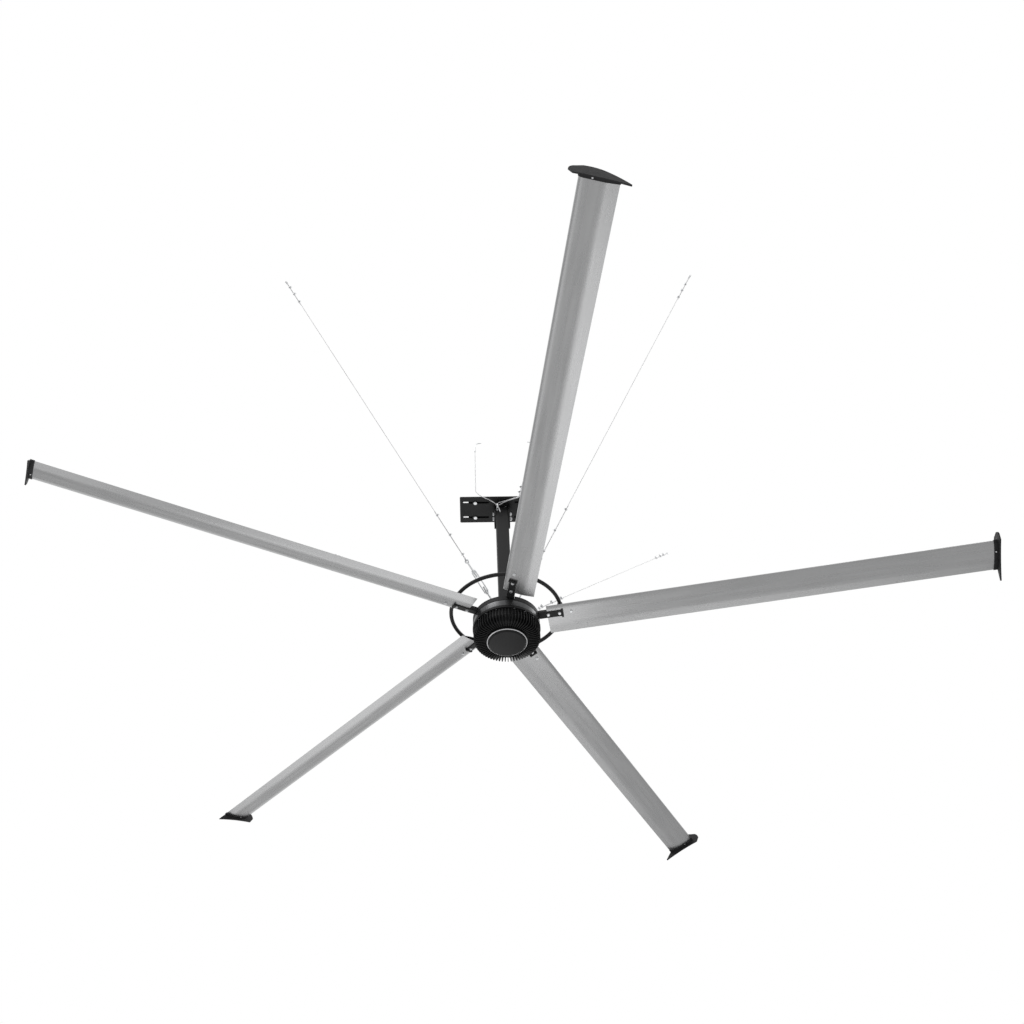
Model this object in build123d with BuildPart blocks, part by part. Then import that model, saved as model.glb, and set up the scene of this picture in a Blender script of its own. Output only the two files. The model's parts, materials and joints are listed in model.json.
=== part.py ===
from build123d import *
import os
from math import asin, cos, degrees, pi, radians, sin, tan

# Large slow ceiling fan with five blades, modelled in millimetres.
# The origin is the centre of the mounting plate's upper face, which lies under a beam's flange.
# X runs along the plate, Z points up, and the fan hangs below.

# Levels and bearings
hub_level = -1100.0             # middle of the blades' chord, below the plate's upper face
first_bearing = -83.15          # bearing of blade 1 about Z
blade_count = 5

# Mounting plate and the clamps that hold it to a beam's lower flange
plate_length = 600.0
plate_width = 240.0
plate_thickness = 10.0
plate_corner = 8.0
beam_flange = 10.0              # thickness of the flange that the clamps grip
slot_width = 18.0
slot_inner = 90.0
slot_outer = 279.0
clamp_row = 70.0                # slots and clamp bolts, from the plate's middle line
clamp_station = 190.0           # clamp bolts, from the plate's centre
clamp_thread = 16.0
clamp_inner = 86.0              # inner end of a clamp along the beam
clamp_outer = 239.0             # outer end
clamp_nose = 32.0               # inner end of a clamp, from the plate's middle line
clamp_heel = 96.0               # outer end of a clamp
clamp_heel_length = 10.0
seat_half_width = 85.0          # the beam's seat ends here, in a step for the clamp heels
seat_step = 2.0
clamp_thickness = 10.0
thread_stand_out = 3.0          # thread that shows past a nut
clamp_stand_out = 14.0

# Clevis that hangs the mast from the plate
mast_width = 90.0
clevis_clearance = 0.5          # each side of the mast
clevis_ear = 10.0
clevis_web = 8.0
clevis_width = 100.0
clevis_drop = 200.0             # bottom of the ears, below the plate's upper face
clevis_shoulder = 110.0         # where the ears start to taper
clevis_end_radius = 30.0
cross_thread = 16.0
cross_levels = (-53.0, -108.0)
base_thread = 12.0
base_bolt_x = 25.0
base_bolt_y = 32.0
bolt_hole_clearance = 0.5       # each side of a bolt
thread_clearance = 0.05         # each side of a bolt in its own thread

# Mast with its lower flange and the four lugs for the stay wires
mast_wall = 5.0
mast_corner = 8.0
mast_top = -34.0
flange_width = 170.0
flange_thickness = 14.0
flange_corner = 12.0
flange_top = hub_level + 66.0
flange_bolt_circle = 68.0
flange_bolt_count = 8
flange_thread = 12.0
wiring_bore = 24.0
lug_radius = 95.0               # lug hole, from the mast's axis
lug_rise = 20.0                 # lug hole, above the flange
lug_hole = 6.5
lug_round = 15.0
lug_thickness = 8.0
lug_root = 50.0
gland_height = 84.0             # cable inlet, above the flange
gland_thread = 20.0
gland_bore = 9.0

# Still shaft and stator
shaft_flange_radius = 82.0
shaft_radius = 40.0
shaft_bore = 22.0
shaft_end_radius = 30.0
shaft_thread_radius = 28.0
carrier_radius = 110.0
carrier_top = -70.0
carrier_thickness = 14.0
core_radius = 181.0
core_top = -35.0
core_height = 78.0
slot_count = 36
stator_slot_root = 135.0
stator_slot_tip = 174.0
stator_slot_mouth = 3.0
tooth_width = 12.0
coil_wall = 4.4
coil_clearance = 0.4
coil_end = 8.0
coil_start = 140.0
coil_depth = 30.0
air_gap = 1.0
magnet_count = 32
magnet_thickness = 6.0
magnet_height = 86.0
magnet_top = -30.0
magnet_gap = 4.0
magnet_glue = 0.2               # behind each magnet

# Bearings: bore radius, outer radius, width, ball radius
upper_bearing = (shaft_radius, 62.5, 22.0, 6.0)
lower_bearing = (shaft_end_radius, 47.5, 18.0, 4.8)
upper_bearing_base = -12.0
lower_bearing_base = -150.0
ball_clearance = 0.3
ball_count = 14
fit_clearance = 0.05            # rings in their seats

# Rotor: housing above, magnet ring, finned cover and cap below
rotor_radius = 215.0
rim_inner = 190.0
rim_top = 17.0
floor_top = -5.0
floor_thickness = 12.0
boss_radius = 92.0
bearing_shoulder = 56.0
notch_width = 54.0
cover_plate_radius = 88.0
cover_plate_thickness = 4.0
cover_screw_circle = 77.0
small_thread = 6.0
seal_clearance = 0.25
seal_radius = 46.2
seal_height = 10.0
housing_screw_circle = 202.5
housing_thread = 8.0
yoke_depth = 28.0
yoke_radius = 213.0
yoke_step = -63.0
yoke_bottom = -118.0
yoke_sleeve_radius = 196.0
yoke_bore = 188.0
sleeve_gap = 1.0
lip_radius = 217.0
lip_height = 19.0
lip_screw_circle = 207.0
cover_wall = 4.0
cover_bottom = -162.0
cover_floor = 8.0
cover_slope_top = -128.0        # the shell slopes in below this, so the fins stand free there
cover_slope_radius = 170.0
cover_slope_wall = 5.0
hub_seat_wall = 12.5
fin_count = 66
fin_thickness = 4.5
fin_top = -88.0
fin_radius = 213.0
fin_bottom = -175.0
fin_corner = 25.0
fin_inner = 138.0
fin_root = 0.5                  # fin sunk into the cover
cap_radius = 129.0
cap_rim = -184.0
cap_face_radius = 112.0
cap_face = -198.0
cap_wall = 4.0
cap_tab_reach = 137.0
cap_tab_width = 12.0
cap_tab_thickness = 3.0
cap_screw_circle = 133.5
cap_screw_bearing = -105.0
cap_screw_thread = 4.0

# Blades, struts and the plates that clamp them
strut_level = 13.0              # strut axis above the blades' mid-chord level
blade_pitch = 17.0
strut_width = 48.0
strut_thickness = 22.0
strut_start = 150.0
strut_end = 455.0
strut_pad_start = 218.0
blade_root = 268.0
blade_tip = 3020.0
blade_nose = 55.0               # leading edge, from the strut axis
blade_tail = 145.0              # trailing edge, from the strut axis
blade_half_height = 14.0
nose_length = 35.0
top_flat_end = 30.0
tail_half_height = 0.8
crease = 78.0
blade_wall = 2.5
bay_half_width = 28.0
strut_stations = (165.0, 200.0)
strut_bolt_depth = 28.0
blade_stations = (275.0, 348.0, 422.0)
blade_thread = 10.0
clamp_plate_end = 372.0
clamp_plate_width = 43.0
clamp_plate_thickness = 6.0
clamp_lip_width = 54.0
clamp_lip_length = 12.0
clamp_lip_depth = 14.0

# Winglets
winglet_sleeve_start = 3000.0
winglet_wall = 2.5
winglet_fit = 0.3
winglet_lean = 8.0              # degrees, top edge inwards
winglet_plate_start = 3022.0
winglet_plate_thickness = 8.0
winglet_screw_radius = 3010.0
winglet_screw_offset = 15.0
winglet_thread = 5.0

# Safety hoop over the blade roots
hoop_radius = 356.0
hoop_tube = 12.5
hoop_level = 69.0
hoop_fit = 0.2
hoop_saddle_wall = 4.3
hoop_saddle_angle = 6.8
bracket_half_length = 18.0
bracket_half_width = 24.0
bracket_base = 4.0
bracket_cheek = 6.0
bracket_cheek_offset = 15.0
bracket_cheek_depth = 24.0

# Stay wires: bearing of each, distance from the lug to the upper loop, and the upper grips
stay_bearings = (-138.9, -46.1, 45.2, 139.2)
stay_reaches = (2759.0, 2617.0, 2969.0, 2564.0)
upper_grips = ((54.0, 116.0, 186.0), (76.0, 128.0, 186.0), (106.0, 186.0, 291.0), (60.0, 125.0, 190.0))
lower_grips = (397.0, 554.0, 714.0)
stay_elevation = 46.0
wire_radius = 2.0
wire_spacing = 0.4              # between the standing wire and its tail
wire_tail = 30.0                # past the last grip
loop_half_width = 14.0
loop_length = 32.0
lower_loop = 343.5              # nearest point of the lower loop, from the lug hole
thimble_radius = 7.0
thimble_length = 24.0
thimble_wall = 1.5
thimble_width = 7.0
thimble_slack = 0.7
stay_grip_scale = 1.8
loose_fit = 0.3

# Turnbuckles
jaw_gap = 9.0
jaw_cheek = 4.0
jaw_round = 12.0
jaw_pin = 6.0
jaw_neck = 24.0
jaw_crown = 34.0
body_start = 87.0
body_end = 269.0
body_boss_length = 24.0
body_boss_radius = 12.0
body_bar_radius = 4.0
body_bar_spacing = 30.0
rod_radius = 6.0
jaw_rod_end = 140.0
eye_rod_start = 215.0
eye_ring = 12.0
eye_wire = 4.5

# Safety cable, its eye on the mast and its two beam hooks
eye_bolt = Vector(-32.0, -70.0, -50.5)
eye_bolt_ring = 18.5
eye_bolt_wire = 6.0
eye_pad = 30.0
eye_pad_thickness = 5.0
cable_radius = 3.0
left_cable_points = [
    (-187.0, -131.0, 548.0),
    (-186.0, -133.0, 30.0),
    (-140.0, -131.0, -19.0),
    (-82.0, -112.0, -32.0),
    (-20.0, -66.0, -47.0),
    (-14.0, -81.0, -123.0),
]
right_cable_points = [
    (245.0, -131.0, 548.0),
    (120.0, -129.0, -20.0),
    (-43.0, -71.0, -22.7),
    (-43.0, -71.0, -41.3),
    (-18.0, -72.0, -41.3),
    (20.0, -94.0, -28.6),
    (124.7, -131.5, -26.5),
    (154.6, -131.5, 110.0),
]
edge_bend = 40.0                # right strand's bend round the plate's edge
hanging_bend = 60.0             # left strand's bends
cable_grip_scale = 1.5
eye_bend = 12.0
hook_radius = 36.0
hook_wire = 3.5
hook_ferrule_radius = 6.0
hook_ferrule_length = 40.0
hook_rise = 20.0
hook_tip = 12.0
cable_grip_heights = (40.0, 95.0)

# Bolt heads and nuts, as shares of the thread
flats_ratio = 1.55
head_ratio = 0.63
nut_ratio = 0.84

sin_pitch = sin(radians(blade_pitch))
cos_pitch = cos(radians(blade_pitch))
sin_stay = sin(radians(stay_elevation))
cos_stay = cos(radians(stay_elevation))
origin_level = hub_level + strut_level

# A strut's own plane at bearing 0: x outwards, y towards the trailing edge, z square to the blade
deck = Plane(origin=(0, 0, origin_level), x_dir=(1, 0, 0), z_dir=(0, sin_pitch, cos_pitch))


def hub(z):
    """A height given from the hub's level."""
    return hub_level + z


def section(radius):
    """Plane across the blade: x towards the trailing edge, y up."""
    return Plane(origin=(radius, 0, origin_level), x_dir=(0, cos_pitch, -sin_pitch), z_dir=(1, 0, 0))


def save(piece, name):
    """Label a finished piece and write it."""
    piece.part.label = name
    export_step(piece.part, f"parts/{name}.step")


def hex_bolt(thread, shank, flats=flats_ratio, flange=0.0):
    """Hexagon bolt that stands on the origin, head up and shank down."""
    with BuildPart() as bolt:
        if flange > 0:
            with BuildSketch(Plane.XY):
                Circle(flange)
            extrude(amount=1.5)
        with BuildSketch(Plane.XY):
            RegularPolygon(thread * flats / 2, 6, major_radius=False)
        extrude(amount=thread * head_ratio + (1.0 if flange > 0 else 0.0))
        with BuildSketch(Plane.XY):
            Circle(thread / 2)
        extrude(amount=-shank)
    return bolt.part


def hex_nut(thread):
    """Hexagon nut that stands on the origin."""
    with BuildPart() as nut:
        with BuildSketch(Plane.XY):
            RegularPolygon(thread * flats_ratio / 2, 6, major_radius=False)
            Circle(thread / 2 + thread_clearance, mode=Mode.SUBTRACT)
        extrude(amount=thread * nut_ratio)
    return nut.part


def group(piece, locations):
    """Copies of one piece at several places, as separate solids."""
    with BuildPart() as copies:
        with Locations(*locations):
            add(piece)
    return copies


def around(piece, count, start, offset=0.0):
    """Copies of one piece about Z."""
    with BuildPart() as copies:
        with PolarLocations(0, count, start_angle=start + offset):
            add(piece)
    return copies


def ring(inner, outer, bottom, top):
    """Plain ring about Z."""
    with BuildPart() as made:
        with BuildSketch(Plane.XY.offset(bottom)):
            Circle(outer)
            Circle(inner, mode=Mode.SUBTRACT)
        extrude(amount=top - bottom)
    return made.part


# Mounting plate with its four slots and countersunk holes
def make_mounting_plate():
    with BuildPart() as mounting_plate:
        with BuildSketch(Plane.XY):
            RectangleRounded(plate_length, plate_width, plate_corner)
            middle = (slot_inner + slot_outer) / 2
            with Locations(*[(sx * middle, sy * clamp_row) for sx in (-1, 1) for sy in (-1, 1)]):
                SlotOverall(slot_outer - slot_inner, slot_width, mode=Mode.SUBTRACT)
        extrude(amount=-plate_thickness)
        step_width = plate_width / 2 - seat_half_width
        with BuildSketch(Plane.XY):
            with Locations(*[(0, sy * (seat_half_width + step_width / 2)) for sy in (-1, 1)]):
                Rectangle(plate_length, step_width)
        extrude(amount=-seat_step, mode=Mode.SUBTRACT)
        with Locations(*[(sx * base_bolt_x, sy * base_bolt_y, 0) for sx in (-1, 1) for sy in (-1, 1)]):
            CounterSinkHole(base_thread / 2 + bolt_hole_clearance, base_thread, counter_sink_angle=90)
    save(mounting_plate, "mounting_plate")


# Four beam clamps: tongue over the beam's flange, heel in the plate's step
def make_beam_clamps():
    places = [(-1, -1), (1, -1), (1, 1), (-1, 1)]
    nut_seat = beam_flange + clamp_thickness
    with BuildPart() as beam_clamps:
        for sx, sy in places:
            with BuildSketch(Plane.YZ.offset(clamp_inner if sx > 0 else -clamp_outer)):
                with BuildLine():
                    Polyline(
                        (sy * clamp_nose, beam_flange),
                        (sy * (clamp_heel - clamp_heel_length), beam_flange),
                        (sy * (clamp_heel - clamp_heel_length), -seat_step),
                        (sy * clamp_heel, -seat_step),
                        (sy * clamp_heel, nut_seat),
                        (sy * (clamp_nose + 6), nut_seat),
                        (sy * clamp_nose, beam_flange + clamp_thickness / 2),
                        close=True,
                    )
                make_face()
            extrude(amount=clamp_outer - clamp_inner)
        with Locations(*[(sx * clamp_station, sy * clamp_row, nut_seat) for sx, sy in places]):
            Hole(clamp_thread / 2 + bolt_hole_clearance)
    save(beam_clamps, "beam_clamps")
    shank = plate_thickness + nut_seat + clamp_thread * nut_ratio + clamp_stand_out
    bolt = hex_bolt(clamp_thread, shank)
    holes = [(sx * clamp_station, sy * clamp_row) for sx, sy in places]
    heads = [Location((x, y, -plate_thickness), (180, 0, 0)) for x, y in holes]
    nuts = [Location((x, y, nut_seat)) for x, y in holes]
    save(group(bolt, heads), "beam_clamp_bolts")
    save(group(hex_nut(clamp_thread), nuts), "beam_clamp_nuts")


# Clevis: a web under the plate and two tapered ears beside the mast
def make_clevis():
    inner = mast_width / 2 + clevis_clearance
    outer = inner + clevis_ear
    with BuildPart() as clevis_bracket:
        with BuildSketch(Plane.XY.offset(-plate_thickness)):
            Rectangle(2 * outer, clevis_width)
            with GridLocations(2 * base_bolt_x, 2 * base_bolt_y, 2, 2):
                Circle(base_thread / 2 + bolt_hole_clearance, mode=Mode.SUBTRACT)
        extrude(amount=-clevis_web)
        end_centre = -clevis_drop + clevis_end_radius
        for start in (-outer, inner):
            with BuildSketch(Plane.YZ.offset(start)):
                with BuildLine():
                    Polyline(
                        (-clevis_end_radius, end_centre),
                        (-clevis_width / 2, -clevis_shoulder),
                        (-clevis_width / 2, -plate_thickness),
                        (clevis_width / 2, -plate_thickness),
                        (clevis_width / 2, -clevis_shoulder),
                        (clevis_end_radius, end_centre),
                    )
                    ThreePointArc(
                        (clevis_end_radius, end_centre),
                        (0, -clevis_drop),
                        (-clevis_end_radius, end_centre),
                    )
                make_face()
                with Locations(*[(0, level) for level in cross_levels]):
                    Circle(cross_thread / 2 + bolt_hole_clearance, mode=Mode.SUBTRACT)
            extrude(amount=clevis_ear)
    save(clevis_bracket, "clevis_bracket")


def cross_fasteners():
    """Bolts through the ears and the mast, and their nuts."""
    outer = mast_width / 2 + clevis_clearance + clevis_ear
    bolt = hex_bolt(cross_thread, 2 * outer + cross_thread * nut_ratio + thread_stand_out)
    left = [Plane(origin=(-outer, 0, z), z_dir=(-1, 0, 0)).location for z in cross_levels]
    right = [Plane(origin=(outer, 0, z), z_dir=(1, 0, 0)).location for z in cross_levels]
    return group(bolt, left).part, group(hex_nut(cross_thread), right).part


def base_fasteners():
    """Countersunk bolts flush with the plate, and nuts under the clevis web."""
    nut_seat = plate_thickness + clevis_web
    length = nut_seat + base_thread * nut_ratio + thread_stand_out / 2
    with BuildPart() as bolt:
        with BuildSketch(Plane.XZ):
            with BuildLine():
                Polyline(
                    (0, 0),
                    (base_thread - bolt_hole_clearance, 0),
                    (base_thread / 2, -base_thread / 2 + bolt_hole_clearance),
                    (base_thread / 2, -length),
                    (0, -length),
                    close=True,
                )
            make_face()
        revolve(axis=Axis.Z)
        with BuildSketch(Plane.XY):
            RegularPolygon(base_thread / 3, 6)
        extrude(amount=-4, mode=Mode.SUBTRACT)
    places = [(sx * base_bolt_x, sy * base_bolt_y) for sx in (-1, 1) for sy in (-1, 1)]
    seats = [Location((x, y, -nut_seat), (180, 0, 0)) for x, y in places]
    bolts = group(bolt.part, [Location((x, y, 0)) for x, y in places])
    nuts = group(hex_nut(base_thread), seats)
    return bolts.part, nuts.part


def make_clevis_fasteners():
    cross_bolts, cross_nuts = cross_fasteners()
    base_bolts, base_nuts = base_fasteners()
    with BuildPart() as clevis_bolts:
        add(cross_bolts)
        add(base_bolts)
    with BuildPart() as clevis_nuts:
        add(cross_nuts)
        add(base_nuts)
    save(clevis_bolts, "clevis_bolts")
    save(clevis_nuts, "clevis_nuts")


def stay_plane(bearing):
    """Upright plane through the mast's axis: x outwards, y up."""
    across = (sin(radians(bearing)), -cos(radians(bearing)), 0)
    return Plane(origin=(0, 0, 0), x_dir=(cos(radians(bearing)), sin(radians(bearing)), 0), z_dir=across)


# Mast: square tube, lower flange and the four lugs for the stay wires
def make_mast():
    with BuildPart() as mast:
        with BuildSketch(Plane.XY.offset(flange_top)):
            RectangleRounded(mast_width, mast_width, mast_corner)
            hollow = mast_width - 2 * mast_wall
            RectangleRounded(hollow, hollow, mast_corner - mast_wall, mode=Mode.SUBTRACT)
        extrude(amount=mast_top - flange_top)
        with BuildSketch(Plane.XY.offset(flange_top)):
            RectangleRounded(flange_width, flange_width, flange_corner)
            Circle(wiring_bore, mode=Mode.SUBTRACT)
            with PolarLocations(flange_bolt_circle, flange_bolt_count, start_angle=180 / flange_bolt_count):
                Circle(flange_thread / 2 + bolt_hole_clearance, mode=Mode.SUBTRACT)
        extrude(amount=-flange_thickness)
        for bearing in stay_bearings:
            with BuildSketch(stay_plane(bearing)):
                with BuildLine():
                    Polyline(
                        (lug_root, flange_top - 1),
                        (lug_radius + lug_round, flange_top - 1),
                        (lug_radius + lug_round, flange_top + lug_rise),
                        (lug_radius, flange_top + lug_rise + lug_round),
                        (lug_root, flange_top + lug_rise + lug_round),
                        close=True,
                    )
                make_face()
                with Locations((lug_radius, flange_top + lug_rise)):
                    Circle(lug_round)
                    Circle(lug_hole, mode=Mode.SUBTRACT)
            extrude(amount=lug_thickness / 2, both=True)
        inner = mast_width / 2 - mast_wall
        with BuildSketch(Plane.XY.offset(flange_top)):
            Rectangle(2 * inner, 2 * inner)
        extrude(amount=mast_top - flange_top, mode=Mode.SUBTRACT)
        for level in cross_levels:
            with BuildSketch(Plane.YZ):
                with Locations((0, level)):
                    Circle(cross_thread / 2 + bolt_hole_clearance)
            extrude(amount=mast_width, both=True, mode=Mode.SUBTRACT)
        with BuildSketch(Plane.XZ.offset(-mast_width / 2 - 1)):
            with Locations((0, flange_top + gland_height)):
                Circle(gland_thread / 2 + thread_clearance)
        extrude(amount=mast_wall + 2, mode=Mode.SUBTRACT)
    save(mast, "mast")


def make_flange_bolts():
    bolt = hex_bolt(flange_thread, 2 * flange_thickness - 1)
    with BuildPart() as mast_flange_bolts:
        with Locations((0, 0, flange_top)):
            with PolarLocations(flange_bolt_circle, flange_bolt_count, start_angle=180 / flange_bolt_count):
                add(bolt)
    save(mast_flange_bolts, "mast_flange_bolts")


# Gland for the power lead, through the mast's wall away from the viewer
def make_cable_gland():
    face = Plane(origin=(0, mast_width / 2, flange_top + gland_height), x_dir=(1, 0, 0), z_dir=(0, 1, 0))
    barrel = gland_thread / 2
    with BuildPart() as cable_gland:
        with BuildSketch(face):
            RegularPolygon(barrel * 1.35, 6, major_radius=False)
        extrude(amount=8)
        with BuildSketch(face.offset(8)):
            Circle(barrel * 1.2)
        extrude(amount=16)
        fillet(cable_gland.faces().sort_by(Axis.Y)[-1].edges(), 5)
        with BuildSketch(face):
            Circle(barrel)
        extrude(amount=-mast_wall - 8)
        with BuildSketch(face.offset(-mast_wall)):
            RegularPolygon(barrel * 1.3, 6, major_radius=False)
        extrude(amount=-5)
        with BuildSketch(face.offset(30)):
            Circle(gland_bore)
        extrude(amount=-60, mode=Mode.SUBTRACT)
    save(cable_gland, "cable_gland")


# Hollow still shaft with its flange, stator carrier and lower bearing seat
def make_motor_shaft():
    shaft_flange_top = flange_top - flange_thickness
    shaft_flange_bottom = shaft_flange_top - flange_thickness
    carrier = hub(carrier_top)
    seat = hub(lower_bearing_base)
    shoulder = seat + lower_bearing[2]
    with BuildPart() as motor_shaft:
        with BuildSketch(Plane.XZ):
            with BuildLine():
                Polyline(
                    (shaft_bore, shaft_flange_top),
                    (shaft_flange_radius, shaft_flange_top),
                    (shaft_flange_radius, shaft_flange_bottom),
                    (shaft_radius + 6, shaft_flange_bottom),
                    (shaft_radius, shaft_flange_bottom - 6),
                    (shaft_radius, carrier),
                    (carrier_radius, carrier),
                    (carrier_radius, carrier - carrier_thickness),
                    (shaft_radius, carrier - carrier_thickness),
                    (shaft_radius, shoulder),
                    (shaft_end_radius, shoulder),
                    (shaft_end_radius, seat),
                    (shaft_thread_radius, seat),
                    (shaft_thread_radius, seat - 18),
                    (shaft_bore, seat - 18),
                    close=True,
                )
            make_face()
        revolve(axis=Axis.Z)
        with BuildSketch(Plane.XY.offset(shaft_flange_top)):
            with PolarLocations(flange_bolt_circle, flange_bolt_count, start_angle=180 / flange_bolt_count):
                Circle(flange_thread / 2 + thread_clearance)
        extrude(amount=-flange_thickness, mode=Mode.SUBTRACT)
    save(motor_shaft, "motor_shaft")


# Slotted stator core and one coil round each tooth
def make_stator():
    half_pitch = tan(pi / slot_count)
    root_half = stator_slot_root * half_pitch - tooth_width / 2
    tip_half = stator_slot_tip * half_pitch - tooth_width / 2
    with BuildPart() as stator_core:
        with BuildSketch(Plane.XY.offset(hub(core_top))):
            Circle(core_radius)
            Circle(carrier_radius + fit_clearance, mode=Mode.SUBTRACT)
            with PolarLocations(0, slot_count):
                Polygon(
                    (stator_slot_root, -root_half),
                    (stator_slot_tip, -tip_half),
                    (stator_slot_tip, tip_half),
                    (stator_slot_root, root_half),
                    align=None,
                    mode=Mode.SUBTRACT,
                )
                mouth_middle = (stator_slot_tip + core_radius) / 2
                with Locations((mouth_middle, 0)):
                    Rectangle(
                        core_radius - stator_slot_tip + 2, stator_slot_mouth, mode=Mode.SUBTRACT
                    )
        extrude(amount=-core_height)
    save(stator_core, "stator_core")

    inner_width = tooth_width + 2 * coil_clearance
    inner_height = core_height + 2 * coil_clearance
    with BuildPart() as coil:
        with BuildSketch(Plane.YZ.offset(coil_start)):
            with Locations((0, hub(core_top) - core_height / 2)):
                RectangleRounded(inner_width + 2 * coil_wall, inner_height + 2 * coil_end, coil_wall)
                Rectangle(inner_width, inner_height, mode=Mode.SUBTRACT)
        extrude(amount=coil_depth)
    save(around(coil.part, slot_count, 180 / slot_count), "stator_windings")


def race(inner, outer, bottom, width, ball_circle, groove):
    """One bearing ring with its ball groove."""
    middle = bottom + width / 2
    with BuildPart() as made:
        with BuildSketch(Plane.XZ):
            with Locations(((inner + outer) / 2, middle)):
                Rectangle(outer - inner, width)
            with Locations((ball_circle, middle)):
                Circle(groove, mode=Mode.SUBTRACT)
        revolve(axis=Axis.Z)
    return made.part


# Two ball bearings: rings on the shaft, rings in the rotor, balls between
def make_bearings():
    inner_rings = []
    outer_rings = []
    balls = []
    for bearing, base in ((upper_bearing, upper_bearing_base), (lower_bearing, lower_bearing_base)):
        bore, outside, width, ball = bearing
        circle = (bore + outside) / 2
        groove = ball + ball_clearance
        bottom = hub(base)
        inner_rings.append(race(bore + fit_clearance, circle - 0.6 * ball, bottom, width, circle, groove))
        outer_rings.append(race(circle + 0.6 * ball, outside - fit_clearance, bottom, width, circle, groove))
        for turn in range(ball_count):
            angle = 2 * pi * turn / ball_count
            balls.append((circle * cos(angle), circle * sin(angle), bottom + width / 2, ball))
    with BuildPart() as bearing_inner_races:
        for part in inner_rings:
            add(part)
    with BuildPart() as bearing_outer_races:
        for part in outer_rings:
            add(part)
    with BuildPart() as bearing_balls:
        for x, y, z, radius in balls:
            with Locations((x, y, z)):
                Sphere(radius)
    save(bearing_inner_races, "bearing_inner_races")
    save(bearing_outer_races, "bearing_outer_races")
    save(bearing_balls, "bearing_balls")


# Ring nut under the lower bearing
def make_shaft_nut():
    top = hub(lower_bearing_base)
    with BuildPart() as shaft_nut:
        with BuildSketch(Plane.XY.offset(top)):
            Circle(shaft_thread_radius + 10)
            Circle(shaft_thread_radius + thread_clearance, mode=Mode.SUBTRACT)
            with PolarLocations(shaft_thread_radius + 10, 4):
                Rectangle(6, 7, mode=Mode.SUBTRACT)
        extrude(amount=-11)
    save(shaft_nut, "shaft_nut")


def strut_pad():
    """Wedge that gives a strut its pitch, at bearing 0."""
    outer = rotor_radius - 2
    with BuildPart() as pad:
        with BuildSketch(Plane.XY.offset(hub(floor_top) - 1)):
            with Locations(((strut_start + outer) / 2, 0)):
                Rectangle(outer - strut_start, notch_width - 2)
        extrude(amount=30)
        split(bisect_by=deck.offset(-strut_thickness / 2), keep=Keep.BOTTOM)
    return pad.part


# Rotor housing: floor, rim with a notch for each strut, and the upper bearing's boss
def make_rotor_housing():
    bottom = hub(floor_top) - floor_thickness
    with BuildPart() as rotor_housing:
        with BuildSketch(Plane.XY.offset(bottom)):
            Circle(rotor_radius)
            Circle(bearing_shoulder, mode=Mode.SUBTRACT)
        extrude(amount=floor_thickness)
        with BuildSketch(Plane.XY.offset(hub(floor_top))):
            Circle(rotor_radius)
            Circle(rim_inner, mode=Mode.SUBTRACT)
            with PolarLocations(0, blade_count, start_angle=first_bearing):
                with Locations((rotor_radius, 0)):
                    Rectangle(4 * (rotor_radius - rim_inner), notch_width, mode=Mode.SUBTRACT)
            Circle(boss_radius)
        extrude(amount=rim_top - floor_top)
        with BuildSketch(Plane.XY.offset(hub(upper_bearing_base))):
            Circle(upper_bearing[1])
        extrude(amount=rim_top - upper_bearing_base, mode=Mode.SUBTRACT)
        with PolarLocations(0, blade_count, start_angle=first_bearing):
            add(strut_pad())
        with PolarLocations(0, blade_count, start_angle=first_bearing):
            add(strut_holes(blade_thread / 2 + thread_clearance), mode=Mode.SUBTRACT)
        for angle in housing_screw_angles():
            with BuildSketch(Plane.XY.offset(hub(rim_top))):
                with PolarLocations(housing_screw_circle, blade_count, start_angle=first_bearing + angle):
                    Circle(housing_thread / 2 + bolt_hole_clearance)
            extrude(amount=-40, mode=Mode.SUBTRACT)
        with BuildSketch(Plane.XY.offset(hub(rim_top))):
            with PolarLocations(cover_screw_circle, 6):
                Circle(small_thread / 2 + thread_clearance)
        extrude(amount=-14, mode=Mode.SUBTRACT)
    save(rotor_housing, "rotor_housing")


def housing_screw_angles():
    """Angles after each strut at which the housing is screwed down."""
    return (16.0, 36.0, 56.0)


def lip_screw_angles():
    """Angles after each strut at which the finned cover is screwed up."""
    return (6.0, 26.0, 46.0)


def strut_holes(radius):
    """Tools for the strut bolts' holes at bearing 0."""
    with BuildPart() as tools:
        with BuildSketch(deck.offset(strut_thickness)):
            with Locations(*[(station, 0) for station in strut_stations]):
                Circle(radius)
        extrude(amount=-strut_thickness - strut_bolt_depth - 1)
    return tools.part


# Cap over the upper bearing, with its screws and the shaft seal
def make_hub_top_cover():
    top = hub(rim_top) + cover_plate_thickness
    spigot_outer = upper_bearing[1] - 0.3
    spigot_bottom = hub(upper_bearing_base) + upper_bearing[2] + 0.2
    with BuildPart() as hub_top_cover:
        with BuildSketch(Plane.XY.offset(hub(rim_top))):
            Circle(cover_plate_radius)
            Circle(seal_radius + fit_clearance, mode=Mode.SUBTRACT)
            with PolarLocations(cover_screw_circle, 6):
                Circle(small_thread / 2 + bolt_hole_clearance, mode=Mode.SUBTRACT)
        extrude(amount=cover_plate_thickness)
        with BuildSketch(Plane.XY.offset(hub(rim_top))):
            Circle(spigot_outer)
            Circle(bearing_shoulder, mode=Mode.SUBTRACT)
        extrude(amount=spigot_bottom - hub(rim_top))
    save(hub_top_cover, "hub_top_cover")
    shaft_seal = BuildPart()
    with shaft_seal:
        add(ring(shaft_radius + seal_clearance, seal_radius, top - seal_height, top))
    save(shaft_seal, "shaft_seal")


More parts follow.
